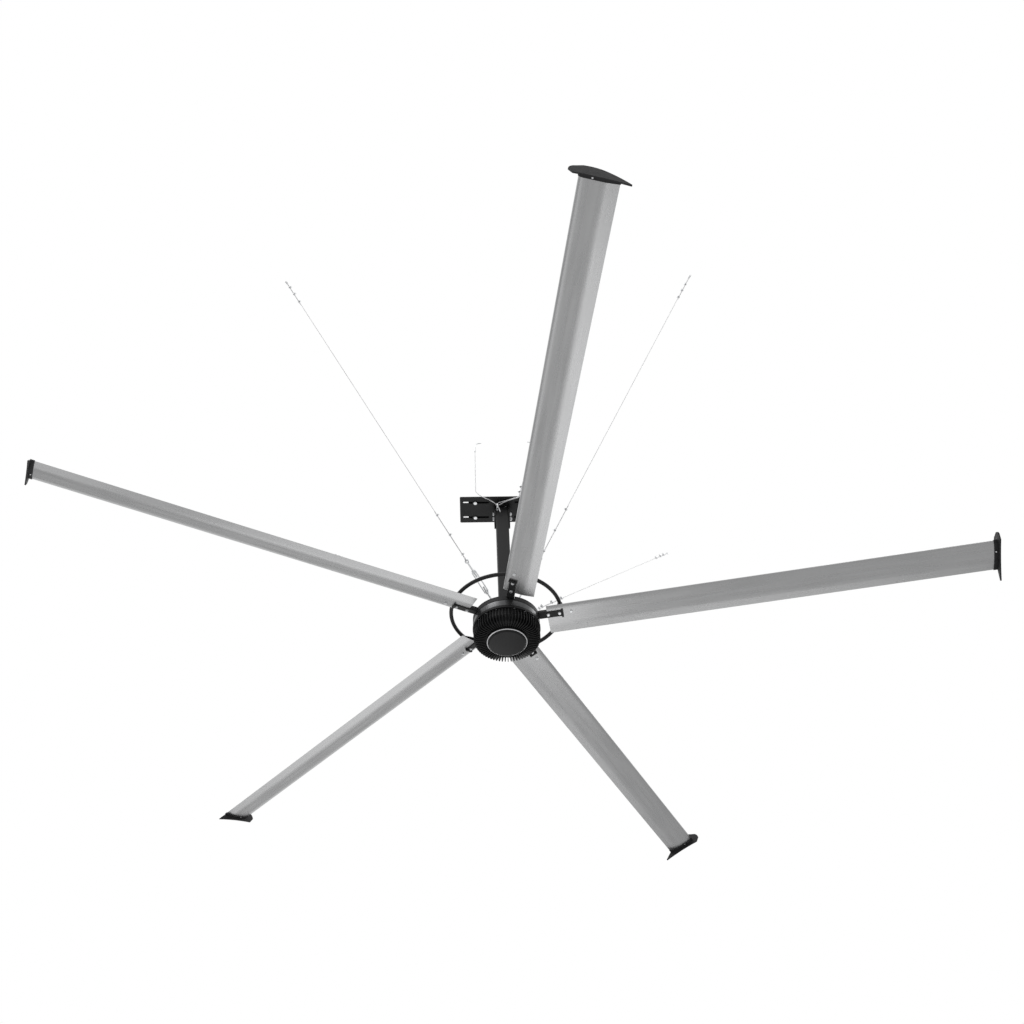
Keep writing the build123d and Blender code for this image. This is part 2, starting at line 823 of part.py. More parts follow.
# Screws of the housing and of the upper cap
def make_housing_screws():
    bolt = hex_bolt(housing_thread, rim_top - floor_top + floor_thickness + yoke_depth - 1)
    small = hex_bolt(small_thread, cover_plate_thickness + 12)
    with BuildPart() as housing_screws:
        for angle in housing_screw_angles():
            with Locations((0, 0, hub(rim_top))):
                with PolarLocations(housing_screw_circle, blade_count, start_angle=first_bearing + angle):
                    add(bolt)
        with Locations((0, 0, hub(rim_top) + cover_plate_thickness)):
            with PolarLocations(cover_screw_circle, 6):
                add(small)
    save(housing_screws, "housing_screws")


# Steel ring that carries the magnets
def make_yoke_ring():
    top = hub(floor_top) - floor_thickness
    with BuildPart() as rotor_yoke_ring:
        with BuildSketch(Plane.XZ):
            with BuildLine():
                Polyline(
                    (yoke_bore, top),
                    (yoke_radius, top),
                    (yoke_radius, hub(yoke_step)),
                    (yoke_sleeve_radius, hub(yoke_step)),
                    (yoke_sleeve_radius, hub(yoke_bottom)),
                    (yoke_bore, hub(yoke_bottom)),
                    close=True,
                )
            make_face()
        revolve(axis=Axis.Z)
        for angle in housing_screw_angles():
            with BuildSketch(Plane.XY.offset(top)):
                with PolarLocations(housing_screw_circle, blade_count, start_angle=first_bearing + angle):
                    Circle(housing_thread / 2 + thread_clearance)
            extrude(amount=-yoke_depth, mode=Mode.SUBTRACT)
        for angle in lip_screw_angles():
            with BuildSketch(Plane.XY.offset(hub(yoke_step))):
                with PolarLocations(lip_screw_circle, blade_count, start_angle=first_bearing + angle):
                    Circle(small_thread / 2 + thread_clearance)
            extrude(amount=20, mode=Mode.SUBTRACT)
    save(rotor_yoke_ring, "rotor_yoke_ring")


# Magnet blocks inside the ring
def make_magnets():
    outer = yoke_bore - magnet_glue
    inner = core_radius + air_gap
    half_angle = 180 / magnet_count - degrees(asin(magnet_gap / 2 / outer))
    with BuildPart() as magnet:
        with BuildSketch(Plane.XY.offset(hub(magnet_top))):
            with BuildLine():
                outer_arc = CenterArc((0, 0), outer, -half_angle, 2 * half_angle)
                inner_arc = CenterArc((0, 0), inner, -half_angle, 2 * half_angle)
                Line(outer_arc @ 0, inner_arc @ 0)
                Line(outer_arc @ 1, inner_arc @ 1)
            make_face()
        extrude(amount=-magnet_height)
    save(around(magnet.part, magnet_count, 0), "rotor_magnets")


def cooling_fin():
    """One fin at bearing 0, down the cover's side and in along its bottom."""
    wall = yoke_sleeve_radius + sleeve_gap + cover_wall - fin_root
    base = hub(cover_bottom) + fin_root
    with BuildPart() as fin:
        with BuildSketch(Plane.XZ):
            with BuildLine():
                Line((wall, hub(fin_top)), (fin_radius, hub(fin_top)))
                Line((fin_radius, hub(fin_top)), (fin_radius, hub(fin_bottom) + fin_corner))
                RadiusArc(
                    (fin_radius, hub(fin_bottom) + fin_corner),
                    (fin_radius - fin_corner, hub(fin_bottom)),
                    fin_corner,
                )
                Polyline(
                    (fin_radius - fin_corner, hub(fin_bottom)),
                    (fin_inner, hub(fin_bottom)),
                    (fin_inner, base),
                    (cover_slope_radius, base),
                    (wall, hub(cover_slope_top) + fin_root),
                    (wall, hub(fin_top)),
                )
            make_face()
        extrude(amount=fin_thickness / 2, both=True)
    return fin.part


# Finned cover: screw lip, shell, floor and the lower bearing's seat
def make_finned_cover():
    inner = yoke_sleeve_radius + sleeve_gap
    shell = inner + cover_wall
    run = shell - cover_slope_radius
    rise = cover_slope_top - cover_bottom
    slope_length = (run**2 + rise**2) ** 0.5
    inner_radius = cover_slope_radius + (cover_floor * run - cover_slope_wall * slope_length) / rise
    inner_top = cover_slope_top + (cover_slope_wall * slope_length - cover_wall * rise) / run
    floor = hub(cover_bottom) + cover_floor
    seat = lower_bearing[1]
    seat_bottom = hub(lower_bearing_base)
    seat_top = seat_bottom + lower_bearing[2]
    lip_bottom = hub(yoke_step) - lip_height
    with BuildPart() as finned_cover:
        with BuildSketch(Plane.XZ):
            with BuildLine():
                Polyline(
                    (cover_slope_radius, hub(cover_bottom)),
                    (shaft_radius, hub(cover_bottom)),
                    (shaft_radius, seat_bottom),
                    (seat, seat_bottom),
                    (seat, seat_top),
                    (seat + hub_seat_wall, seat_top),
                    (seat + hub_seat_wall, floor),
                    (inner_radius, floor),
                    (inner, hub(inner_top)),
                    (inner, hub(yoke_step)),
                    (lip_radius, hub(yoke_step)),
                    (lip_radius, lip_bottom),
                    (shell, lip_bottom),
                    (shell, hub(cover_slope_top)),
                    close=True,
                )
            make_face()
        revolve(axis=Axis.Z)
        with PolarLocations(0, fin_count):
            add(cooling_fin())
        for angle in lip_screw_angles():
            with BuildSketch(Plane.XY.offset(hub(yoke_step))):
                with PolarLocations(lip_screw_circle, blade_count, start_angle=first_bearing + angle):
                    Circle(small_thread / 2 + bolt_hole_clearance)
            extrude(amount=-lip_height, mode=Mode.SUBTRACT)
        with BuildSketch(Plane.XY.offset(hub(cover_bottom))):
            with PolarLocations(cap_screw_circle, 1, start_angle=cap_screw_bearing):
                Circle(cap_screw_thread / 2 + thread_clearance)
        extrude(amount=6, mode=Mode.SUBTRACT)
    save(finned_cover, "finned_cover")


def make_cover_screws():
    screw = hex_bolt(small_thread, lip_height + 16)
    with BuildPart() as cover_screws:
        for angle in lip_screw_angles():
            turn = -first_bearing - angle
            with Locations(Location((0, 0, hub(yoke_step) - lip_height), (180, 0, 0))):
                with PolarLocations(lip_screw_circle, blade_count, start_angle=turn):
                    add(screw)
    save(cover_screws, "cover_screws")


# Bare cap under the hub, with the one tab that locks it
def make_hub_cap():
    with BuildPart() as hub_cap:
        with BuildSketch(Plane.XZ):
            with BuildLine():
                Polyline(
                    (cap_radius, hub(cover_bottom)),
                    (cap_radius, hub(cap_rim)),
                    (cap_face_radius, hub(cap_face)),
                    (0, hub(cap_face)),
                    (0, hub(cap_face) + cap_wall),
                    (cap_face_radius - cap_wall / 2, hub(cap_face) + cap_wall),
                    (cap_radius - cap_wall, hub(cap_rim) + cap_wall / 2),
                    (cap_radius - cap_wall, hub(cover_bottom)),
                    close=True,
                )
            make_face()
        revolve(axis=Axis.Z)
        with BuildSketch(Plane.XY.offset(hub(cover_bottom))):
            with PolarLocations((cap_radius + cap_tab_reach) / 2 - 1, 1, start_angle=cap_screw_bearing):
                Rectangle(cap_tab_reach - cap_radius + 2, cap_tab_width)
            with PolarLocations(cap_screw_circle, 1, start_angle=cap_screw_bearing):
                Circle(cap_screw_thread / 2 + 0.2, mode=Mode.SUBTRACT)
        extrude(amount=-cap_tab_thickness)
    save(hub_cap, "hub_cap")
    screw = hex_bolt(cap_screw_thread, cap_tab_thickness + 5)
    angle = radians(cap_screw_bearing)
    seat = hub(cover_bottom) - cap_tab_thickness
    spot = (cap_screw_circle * cos(angle), cap_screw_circle * sin(angle), seat)
    save(group(screw, [Location(spot, (180, 0, 0))]), "cap_lock_screw")


def blade_holes(clearance=bolt_hole_clearance):
    """Tools for the blade bolts' holes at bearing 0."""
    with BuildPart() as tools:
        with BuildSketch(deck.offset(40)):
            with Locations(*[(station, 0) for station in blade_stations]):
                Circle(blade_thread / 2 + clearance)
        extrude(amount=-80)
    return tools.part


# Struts, their bolts to the housing, and the plates under the blade roots
def make_struts():
    step = blade_half_height - strut_thickness / 2
    with BuildPart() as strut:
        with BuildSketch(deck.offset(-strut_thickness / 2)):
            with Locations(((strut_start + strut_end) / 2, 0)):
                RectangleRounded(strut_end - strut_start, strut_width, 4)
        extrude(amount=strut_thickness)
        with BuildSketch(deck.offset(-strut_thickness / 2)):
            with Locations(((strut_pad_start + blade_root - 6) / 2, 0)):
                Rectangle(blade_root - 6 - strut_pad_start, strut_width)
        extrude(amount=-step)
        add(strut_holes(blade_thread / 2 + bolt_hole_clearance), mode=Mode.SUBTRACT)
        add(blade_holes(), mode=Mode.SUBTRACT)
    save(around(strut.part, blade_count, first_bearing), "blade_struts")

    bolt = hex_bolt(blade_thread, strut_thickness + strut_bolt_depth - strut_thickness / 2, flange=10.5)
    top = deck.offset(strut_thickness / 2).location
    heads = [top * Location((station, 0, 0)) for station in strut_stations]
    save(around(group(bolt, heads).part, blade_count, first_bearing), "strut_bolts")


def make_clamp_plates():
    with BuildPart() as clamp_plate:
        with BuildSketch(deck.offset(-blade_half_height)):
            with Locations(((strut_pad_start + clamp_plate_end) / 2, 0)):
                Rectangle(clamp_plate_end - strut_pad_start, clamp_plate_width)
        extrude(amount=-clamp_plate_thickness)
        with BuildSketch(deck.offset(-blade_half_height)):
            with Locations((clamp_plate_end - clamp_lip_length / 2, 0)):
                RectangleRounded(clamp_lip_length, clamp_lip_width, 3)
        extrude(amount=-clamp_lip_depth)
        add(blade_holes(), mode=Mode.SUBTRACT)
    save(around(clamp_plate.part, blade_count, first_bearing), "blade_clamp_plates")


def blade_outline(grow=0.0):
    """Blade section: nose on the left, thin tail on the right, larger all round by a margin."""
    nose_start = nose_length - blade_nose
    height = blade_half_height + grow
    tail = blade_tail + grow
    tail_height = tail_half_height + grow
    with BuildSketch() as outline:
        with BuildLine():
            Line((nose_start, height), (top_flat_end, height))
            TangentArc((top_flat_end, height), (tail, tail_height), tangent=(1, 0))
            Polyline((tail, tail_height), (tail, -tail_height), (crease, -height), (nose_start, -height))
            EllipticalCenterArc((nose_start, 0), nose_length + grow, height, start_angle=90, arc_size=180)
        make_face()
    return outline.sketch


def blade_bays():
    """Hollow bays of the extrusion: nose, strut bay and tail."""
    inside = blade_half_height - blade_wall
    front = -bay_half_width - blade_wall
    nose_height = inside * 0.9
    back = bay_half_width + blade_wall
    with BuildSketch() as bays:
        Rectangle(2 * bay_half_width, 2 * inside)
        with BuildLine():
            Line((front, nose_height), (front, -nose_height))
            EllipticalCenterArc(
                (front, 0), blade_nose - blade_wall + front, nose_height, start_angle=90, arc_size=180
            )
        make_face()
        with BuildLine():
            Polyline(
                (back, inside - 0.2),
                (crease, inside - 3.0),
                (blade_tail - 24, 2.9),
                (blade_tail - 24, -2.4),
                (crease - 1, -inside),
                (back, -inside),
                close=True,
            )
        make_face()
    return bays.sketch


# Five hollow blades
def make_blades():
    with BuildPart() as blade:
        with BuildSketch(section(blade_root)):
            add(blade_outline())
            add(blade_bays(), mode=Mode.SUBTRACT)
        extrude(amount=blade_tip - blade_root)
        add(blade_holes(), mode=Mode.SUBTRACT)
        add(winglet_screw_hole(), mode=Mode.SUBTRACT)
    for number in range(blade_count):
        bearing = first_bearing + number * 360 / blade_count
        save(group(blade.part, [Rotation(0, 0, bearing)]), f"blade_{number + 1}")


def winglet_screw_hole():
    """Tool for the winglet screw's hole through the sleeve and the blade's lower skin."""
    with BuildPart() as tool:
        with BuildSketch(deck):
            with Locations((winglet_screw_radius, winglet_screw_offset)):
                Circle(winglet_thread / 2 + thread_clearance)
        extrude(amount=-30)
    return tool.part


# Bolts up through the clamp plate, blade and strut, with their nuts on top
def make_blade_bolts():
    lower = [blade_half_height + clamp_plate_thickness] * 2 + [blade_half_height]
    upper = [blade_half_height, blade_half_height + bracket_base, blade_half_height]
    with BuildPart() as bolts:
        for station, down, up in zip(blade_stations, lower, upper):
            length = down + up + blade_thread * nut_ratio + thread_stand_out
            place = deck.location * Location((station, 0, -down), (180, 0, 0))
            with Locations(place):
                add(hex_bolt(blade_thread, length, flange=10.5))
    with BuildPart() as nuts:
        for station, up in zip(blade_stations, upper):
            with Locations(deck.location * Location((station, 0, up))):
                add(hex_nut(blade_thread))
    save(around(bolts.part, blade_count, first_bearing), "blade_bolts")
    save(around(nuts.part, blade_count, first_bearing), "blade_nuts")


def winglet():
    """Black tip plate with its sleeve over the blade's end, at bearing 0."""
    sleeve_end = winglet_plate_start + winglet_plate_thickness / 2
    leaned = section(winglet_plate_start).rotated((-winglet_lean, 0, 0))
    with BuildPart() as tip:
        with BuildSketch(section(winglet_sleeve_start)):
            add(blade_outline(winglet_fit + winglet_wall))
        extrude(amount=sleeve_end - winglet_sleeve_start)
        with BuildSketch(leaned):
            with BuildLine():
                ThreePointArc((208, -15), (130, 24), (55, 50))
                ThreePointArc((55, 50), (0, 55), (-55, 44))
                Line((-55, 44), (-84, 20))
                ThreePointArc((-84, 20), (-104, -4), (-103, -30))
                Line((-103, -30), (-72, -53))
                ThreePointArc((-72, -53), (60, -31), (207, -19))
                Line((207, -19), (208, -15))
            make_face()
        extrude(amount=winglet_plate_thickness)
        with BuildSketch(section(winglet_sleeve_start - 1)):
            add(blade_outline(winglet_fit))
        extrude(amount=blade_tip + winglet_fit - winglet_sleeve_start + 1, mode=Mode.SUBTRACT)
        add(winglet_screw_hole(), mode=Mode.SUBTRACT)
    return tip.part


def make_winglets():
    tip = winglet()
    for number in range(blade_count):
        bearing = first_bearing + number * 360 / blade_count
        save(group(tip, [Rotation(0, 0, bearing)]), f"winglet_{number + 1}")
    sleeve_face = blade_half_height + winglet_fit + winglet_wall
    with BuildPart() as screw:
        with BuildSketch(Plane.XY):
            Circle(winglet_thread)
        extrude(amount=3)
        fillet(screw.edges().group_by(Axis.Z)[-1], 1.5)
        with BuildSketch(Plane.XY):
            Circle(winglet_thread / 2)
        extrude(amount=-winglet_wall - winglet_fit - blade_wall)
    place = deck.location * Location((winglet_screw_radius, winglet_screw_offset, -sleeve_face), (180, 0, 0))
    save(around(group(screw.part, [place]).part, blade_count, first_bearing), "winglet_screws")


# Tube hoop above the blade roots, and a bracket on each blade for it
def make_safety_hoop():
    with BuildPart() as safety_hoop:
        with Locations((0, 0, hub(hoop_level))):
            Torus(hoop_radius, hoop_tube)
    save(safety_hoop, "safety_hoop")

    bolt_station = blade_stations[1]
    nut_middle = blade_half_height + bracket_base + blade_thread * nut_ratio / 2
    shift = nut_middle * sin_pitch
    start = radians(hoop_saddle_angle / 2) - asin(shift / hoop_radius)
    across = (-sin(start), -cos(start), 0)
    saddle_plane = Plane(origin=(0, 0, 0), x_dir=(cos(start), -sin(start), 0), z_dir=across)
    with BuildPart() as bracket:
        with BuildSketch(Plane.XY.offset(hub(hoop_level))):
            with Locations(*[(hoop_radius, shift + side * bracket_cheek_offset) for side in (-1, 1)]):
                Rectangle(bracket_cheek_depth, bracket_cheek)
        extrude(amount=-60)
        split(bisect_by=deck.offset(blade_half_height + bracket_base / 2), keep=Keep.TOP)
        with BuildSketch(deck.offset(blade_half_height)):
            with Locations((bolt_station + 2, 0)):
                RectangleRounded(2 * bracket_half_length, 2 * bracket_half_width, 4)
        extrude(amount=bracket_base)
        with BuildSketch(saddle_plane):
            with Locations((hoop_radius, hub(hoop_level))):
                Circle(hoop_tube + hoop_fit + hoop_saddle_wall)
        revolve(axis=Axis.Z, revolution_arc=hoop_saddle_angle)
        with Locations((0, 0, hub(hoop_level))):
            Torus(hoop_radius, hoop_tube + hoop_fit, mode=Mode.SUBTRACT)
        add(blade_holes(), mode=Mode.SUBTRACT)
    save(around(bracket.part, blade_count, first_bearing), "hoop_brackets")


def wire_plane(number):
    """A stay's own plane: x up along the wire from its lug hole, y square to it and up."""
    bearing = radians(stay_bearings[number])
    outwards = Vector(cos(bearing), sin(bearing), 0)
    start = outwards * lug_radius + Vector(0, 0, flange_top + lug_rise)
    along = outwards * cos_stay + Vector(0, 0, sin_stay)
    return Plane(origin=start, x_dir=along, z_dir=(sin(bearing), -cos(bearing), 0))


def bend_radii(points, largest=None):
    """Radius for each corner: 0.45 of its shorter run over the tangent of half its turn."""
    radii = []
    for before, corner, after in zip(points, points[1:], points[2:]):
        first = Vector(*corner) - Vector(*before)
        second = Vector(*after) - Vector(*corner)
        half_turn = radians(first.get_angle(second)) / 2
        radius = 0.45 * min(first.length, second.length) / tan(half_turn)
        radii.append(radius if largest is None else min(radius, largest))
    return radii


def cord(points, radius, radii, name):
    """Tube along straight runs joined by tangent arcs."""
    with BuildPart() as tube:
        with BuildLine() as route:
            FilletPolyline(*points, radius=radii)
        start = Plane(origin=route.wire() @ 0, z_dir=route.wire() % 0)
        with BuildSketch(start):
            Circle(radius)
        sweep(path=route.wire())
    expected = pi * radius**2 * route.wire().length
    tightest = min(radii)
    print(
        f"{name}: length {route.wire().length:.0f} mm, tightest radius {tightest:.1f} mm,"
        f" volume over section times length {tube.part.volume / expected:.4f}"
    )
    save(tube, name)


def stay_route(number):
    """Points of one stay wire: a loop at each end and the tails laid beside the wire."""
    plane = wire_plane(number)
    side = wire_radius + wire_spacing / 2
    upper_loop = stay_reaches[number]
    upper_tail = upper_loop - upper_grips[number][-1] - wire_tail
    flat = [
        (lower_grips[-1] + wire_tail, -side),
        (lower_loop + loop_length, -side),
        (lower_loop, -loop_half_width),
        (lower_loop, loop_half_width),
        (lower_loop + loop_length, side),
        (upper_loop - loop_length, side),
        (upper_loop, loop_half_width),
        (upper_loop, -loop_half_width),
        (upper_loop - loop_length, -side),
        (upper_tail, -side),
    ]
    return [tuple(plane.from_local_coords((x, y, 0))) for x, y in flat]


# Stay wires, thimbles in their loops, and wire grips
def make_stays():
    for number in range(len(stay_bearings)):
        points = stay_route(number)
        cord(points, wire_radius, bend_radii(points), f"guy_wire_{number + 1}")

    with BuildPart() as thimble:
        with BuildSketch(Plane.XY):
            with BuildLine():
                start = CenterArc((0, 0), thimble_radius, 70, 220)
                point = (thimble_length - thimble_radius, 0)
                Line(start @ 0, point)
                Line(start @ 1, point)
            make_face()
            offset(amount=-thimble_wall, mode=Mode.SUBTRACT)
        extrude(amount=thimble_width / 2, both=True)
    seat = wire_radius + loose_fit + thimble_radius
    places = []
    for number in range(len(stay_bearings)):
        plane = wire_plane(number)
        places.append(plane.location * Location((lower_loop + seat, 0, 0)))
        places.append(plane.location * Location((stay_reaches[number] - seat, 0, 0), (0, 0, 180)))
    save(group(thimble.part, places), "wire_thimbles")


def grip_saddle(radius, scale):
    """Forged bridge of a wire grip: x along the wire, y away from the tail."""
    side = radius + wire_spacing / 2
    leg = grip_leg(radius)
    with BuildPart() as saddle:
        with BuildSketch(Plane.XZ.offset(-side)):
            RectangleRounded(6.0 * scale, 2 * leg + 6.0 * scale, 1.2 * scale)
        extrude(amount=-3.6 * scale - radius)
        with BuildSketch(Plane.YZ.offset(-10 * scale)):
            with Locations((side, 0)):
                Circle(radius + 0.15)
        extrude(amount=20 * scale, mode=Mode.SUBTRACT)
        with BuildSketch(Plane.XZ.offset(-side)):
            with Locations((0, leg), (0, -leg)):
                Circle(radius * 0.9 + 0.15)
        extrude(amount=-20 * scale, mode=Mode.SUBTRACT)
    return saddle.part


def grip_leg(radius):
    """Half the distance between a grip's legs."""
    return 2 * radius + 0.3


def grip_ubolt(radius, scale):
    """U-bolt of a wire grip, round the tail's side."""
    side = radius + wire_spacing / 2
    leg = grip_leg(radius)
    top = side + radius + 9.0 * scale
    with BuildPart() as ubolt:
        with BuildLine(Plane.YZ) as route:
            first = Line((top, leg), (-side, leg))
            arc = ThreePointArc((-side, leg), (-side - leg, 0), (-side, -leg))
            Line((-side, -leg), (top, -leg))
        with BuildSketch(Plane(origin=first @ 0, z_dir=first % 0)):
            Circle(radius * 0.9)
        sweep(path=route.wire())
    return ubolt.part


def grip_nut(radius, scale):
    """Nut on one leg of a wire grip, standing on the origin."""
    with BuildPart() as nut:
        with BuildSketch(Plane.XY):
            RegularPolygon(radius * 1.75, 6, major_radius=False)
            Circle(radius * 0.9 + 0.1, mode=Mode.SUBTRACT)
        extrude(amount=2.8 * scale)
    return nut.part


def grip_places():
    """Where each stay wire's grips sit, as places with x along the wire."""
    places = []
    for number in range(len(stay_bearings)):
        plane = wire_plane(number)
        for distance in lower_grips:
            places.append(plane.location * Location((distance, 0, 0)))
        for distance in upper_grips[number]:
            places.append(plane.location * Location((stay_reaches[number] - distance, 0, 0)))
    return places


def cable_grip_places():
    """Where the safety cable's two grips sit."""
    top = Vector(*right_cable_points[0])
    edge = Vector(*right_cable_points[1])
    tail_start = Vector(*right_cable_points[-2])
    tail_end = Vector(*right_cable_points[-1])
    along = (top - edge).normalized()
    places = []
    for height in cable_grip_heights:
        standing = edge + (top - edge) * ((height - edge.Z) / (top.Z - edge.Z))
        tail = tail_start + (tail_end - tail_start) * ((height - tail_start.Z) / (tail_end.Z - tail_start.Z))
        across = standing - tail
        across = across - along * across.dot(along)
        middle = standing - across.normalized() * (cable_radius + wire_spacing / 2)
        places.append(Plane(origin=middle, x_dir=along, z_dir=along.cross(across.normalized())).location)
    return places


def make_grips():
    nut_seat = 2 * wire_radius + wire_spacing / 2 + 3.6 * stay_grip_scale
    stay_leg = grip_leg(wire_radius)
    cable_seat = 2 * cable_radius + wire_spacing / 2 + 3.6 * cable_grip_scale
    cable_leg = grip_leg(cable_radius)
    with BuildPart() as wire_grip_saddles:
        with Locations(*grip_places()):
            add(grip_saddle(wire_radius, stay_grip_scale))
        with Locations(*cable_grip_places()):
            add(grip_saddle(cable_radius, cable_grip_scale))
    with BuildPart() as wire_grip_ubolts:
        with Locations(*grip_places()):
            add(grip_ubolt(wire_radius, stay_grip_scale))
        with Locations(*cable_grip_places()):
            add(grip_ubolt(cable_radius, cable_grip_scale))
        for side in (-1, 1):
            for place in grip_places():
                with Locations(place * Location((0, nut_seat, side * stay_leg), (-90, 0, 0))):
                    add(grip_nut(wire_radius, stay_grip_scale))
            for place in cable_grip_places():
                with Locations(place * Location((0, cable_seat, side * cable_leg), (-90, 0, 0))):
                    add(grip_nut(cable_radius, cable_grip_scale))
    save(wire_grip_saddles, "wire_grip_saddles")
    save(wire_grip_ubolts, "wire_grip_ubolts")


# Turnbuckles: fork on the lug, open body, and eye for the wire's loop
def make_turnbuckles():
    with BuildPart() as jaw:
        outer = jaw_gap / 2 + jaw_cheek
        with BuildSketch(Plane.XY.offset(-outer)):
            Circle(jaw_round)
            with Locations((jaw_crown / 2, 0)):
                Rectangle(jaw_crown, 2 * jaw_round)
        extrude(amount=2 * outer)
        with BuildSketch(Plane.XY.offset(-jaw_gap / 2)):
            with Locations((jaw_neck / 2 - jaw_round, 0)):
                Rectangle(jaw_neck + 2 * jaw_round, 2 * jaw_round)
        extrude(amount=jaw_gap, mode=Mode.SUBTRACT)
        with BuildSketch(Plane.XY.offset(-outer - 3)):
            Circle(jaw_pin)
        extrude(amount=2 * outer + 6)
        with BuildSketch(Plane.YZ.offset(jaw_crown - 1)):
            Circle(rod_radius)
        extrude(amount=jaw_rod_end - jaw_crown + 1)

    with BuildPart() as body:
        for start in (body_start, body_end - body_boss_length):
            with BuildSketch(Plane.YZ.offset(start)):
                Circle(body_boss_radius)
            extrude(amount=body_boss_length)
        with BuildSketch(Plane.YZ.offset(body_start + body_boss_length / 2)):
            with Locations((0, body_bar_spacing / 2), (0, -body_bar_spacing / 2)):
                Circle(body_bar_radius)
        extrude(amount=body_end - body_start - body_boss_length)
        for start in (body_start, body_end - body_boss_length):
            with BuildSketch(Plane.YZ.offset(start + body_boss_length / 2 - body_bar_radius)):
                Rectangle(2 * body_bar_radius, body_bar_spacing)
            extrude(amount=2 * body_bar_radius)
        with BuildSketch(Plane.YZ.offset(body_start - 1)):
            Circle(rod_radius + 0.1)
        extrude(amount=body_end - body_start + 2, mode=Mode.SUBTRACT)

    eye_centre = lower_loop + wire_radius + loose_fit + thimble_radius + thimble_slack - eye_ring
    with BuildPart() as eye:
        with Locations(Location((eye_centre, 0, 0), (90, 0, 0))):
            Torus(eye_ring, eye_wire)
        with BuildSketch(Plane.YZ.offset(eye_rod_start)):
            Circle(rod_radius)
        extrude(amount=eye_centre - eye_ring - eye_rod_start)

    places = [wire_plane(number).location for number in range(len(stay_bearings))]
    save(group(jaw.part, places), "turnbuckle_jaws")
    save(group(body.part, places), "turnbuckle_bodies")
    save(group(eye.part, places), "turnbuckle_eyes")


# Eye on the mast's near face that the safety cable passes through
def make_safety_eye():
    with BuildPart() as safety_eye:
        with Locations(Location(tuple(eye_bolt), (0, 90, 0))):
            Torus(eye_bolt_ring, eye_bolt_wire)
        face = Plane(origin=(eye_bolt.X, -mast_width / 2, eye_bolt.Z - 8), x_dir=(1, 0, 0), z_dir=(0, -1, 0))
        with BuildSketch(face):
            RectangleRounded(eye_pad / 2, eye_pad, 3)
        extrude(amount=eye_pad_thickness)
    save(safety_eye, "safety_eye")


def beam_hook():
    """Hook that stands on a strand's end: ferrule below, short rise and a bend over the beam."""
    with BuildPart() as hook:
        with BuildLine(Plane.XZ) as route:
            rise = (0, hook_rise + hook_radius)
            tip = (hook_radius + hook_tip, hook_rise + hook_radius)
            FilletPolyline((0, fit_clearance), rise, tip, radius=hook_radius)
        with BuildSketch(Plane(origin=route.wire() @ 0, z_dir=route.wire() % 0)):
            Circle(hook_wire)
        sweep(path=route.wire())
        with BuildSketch(Plane.XY.offset(-hook_ferrule_length)):
            Circle(hook_ferrule_radius)
        extrude(amount=hook_ferrule_length + 4)
        with BuildSketch(Plane.XY.offset(-hook_ferrule_length - 1)):
            Circle(cable_radius + fit_clearance)
        extrude(amount=hook_ferrule_length + 1 + fit_clearance, mode=Mode.SUBTRACT)
    return hook.part


def hook_place(points, towards):
    """Place on a strand's upper end, with the hook bent towards the beam's middle."""
    top = Vector(*points[0])
    along = (top - Vector(*points[1])).normalized()
    return Plane(origin=top, x_dir=(towards, 0, 0), z_dir=along).location


def make_safety_cable():
    left_radii = bend_radii(left_cable_points, hanging_bend)
    right_radii = bend_radii(right_cable_points, edge_bend)
    cord(left_cable_points, cable_radius, left_radii, "safety_cable_left")
    cord(right_cable_points, cable_radius, right_radii, "safety_cable_right")
    places = [hook_place(left_cable_points, 1), hook_place(right_cable_points, -1)]
    save(group(beam_hook(), places), "safety_hooks")


os.makedirs("parts", exist_ok=True)
make_mounting_plate()
make_beam_clamps()
make_clevis()
make_clevis_fasteners()
make_mast()
make_flange_bolts()
make_cable_gland()
make_motor_shaft()
make_stator()
make_bearings()
make_shaft_nut()
make_rotor_housing()
make_hub_top_cover()
make_housing_screws()
make_yoke_ring()
make_magnets()
make_finned_cover()
make_cover_screws()
make_hub_cap()
make_struts()
make_clamp_plates()
make_blades()
make_blade_bolts()
make_winglets()
make_safety_hoop()
make_stays()
make_grips()
make_turnbuckles()
make_safety_eye()
make_safety_cable()
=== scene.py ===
"""Looks of a large slow ceiling fan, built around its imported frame.

The fan hangs from a beam plate on a square mast. Everything is in metres, in the frame's own axes.
"""
import json
import logging
import math
from collections.abc import Sequence
from dataclasses import dataclass, field
from enum import Enum

import bmesh
import bpy
from mathutils import Matrix, Vector
from mathutils.geometry import tessellate_polygon

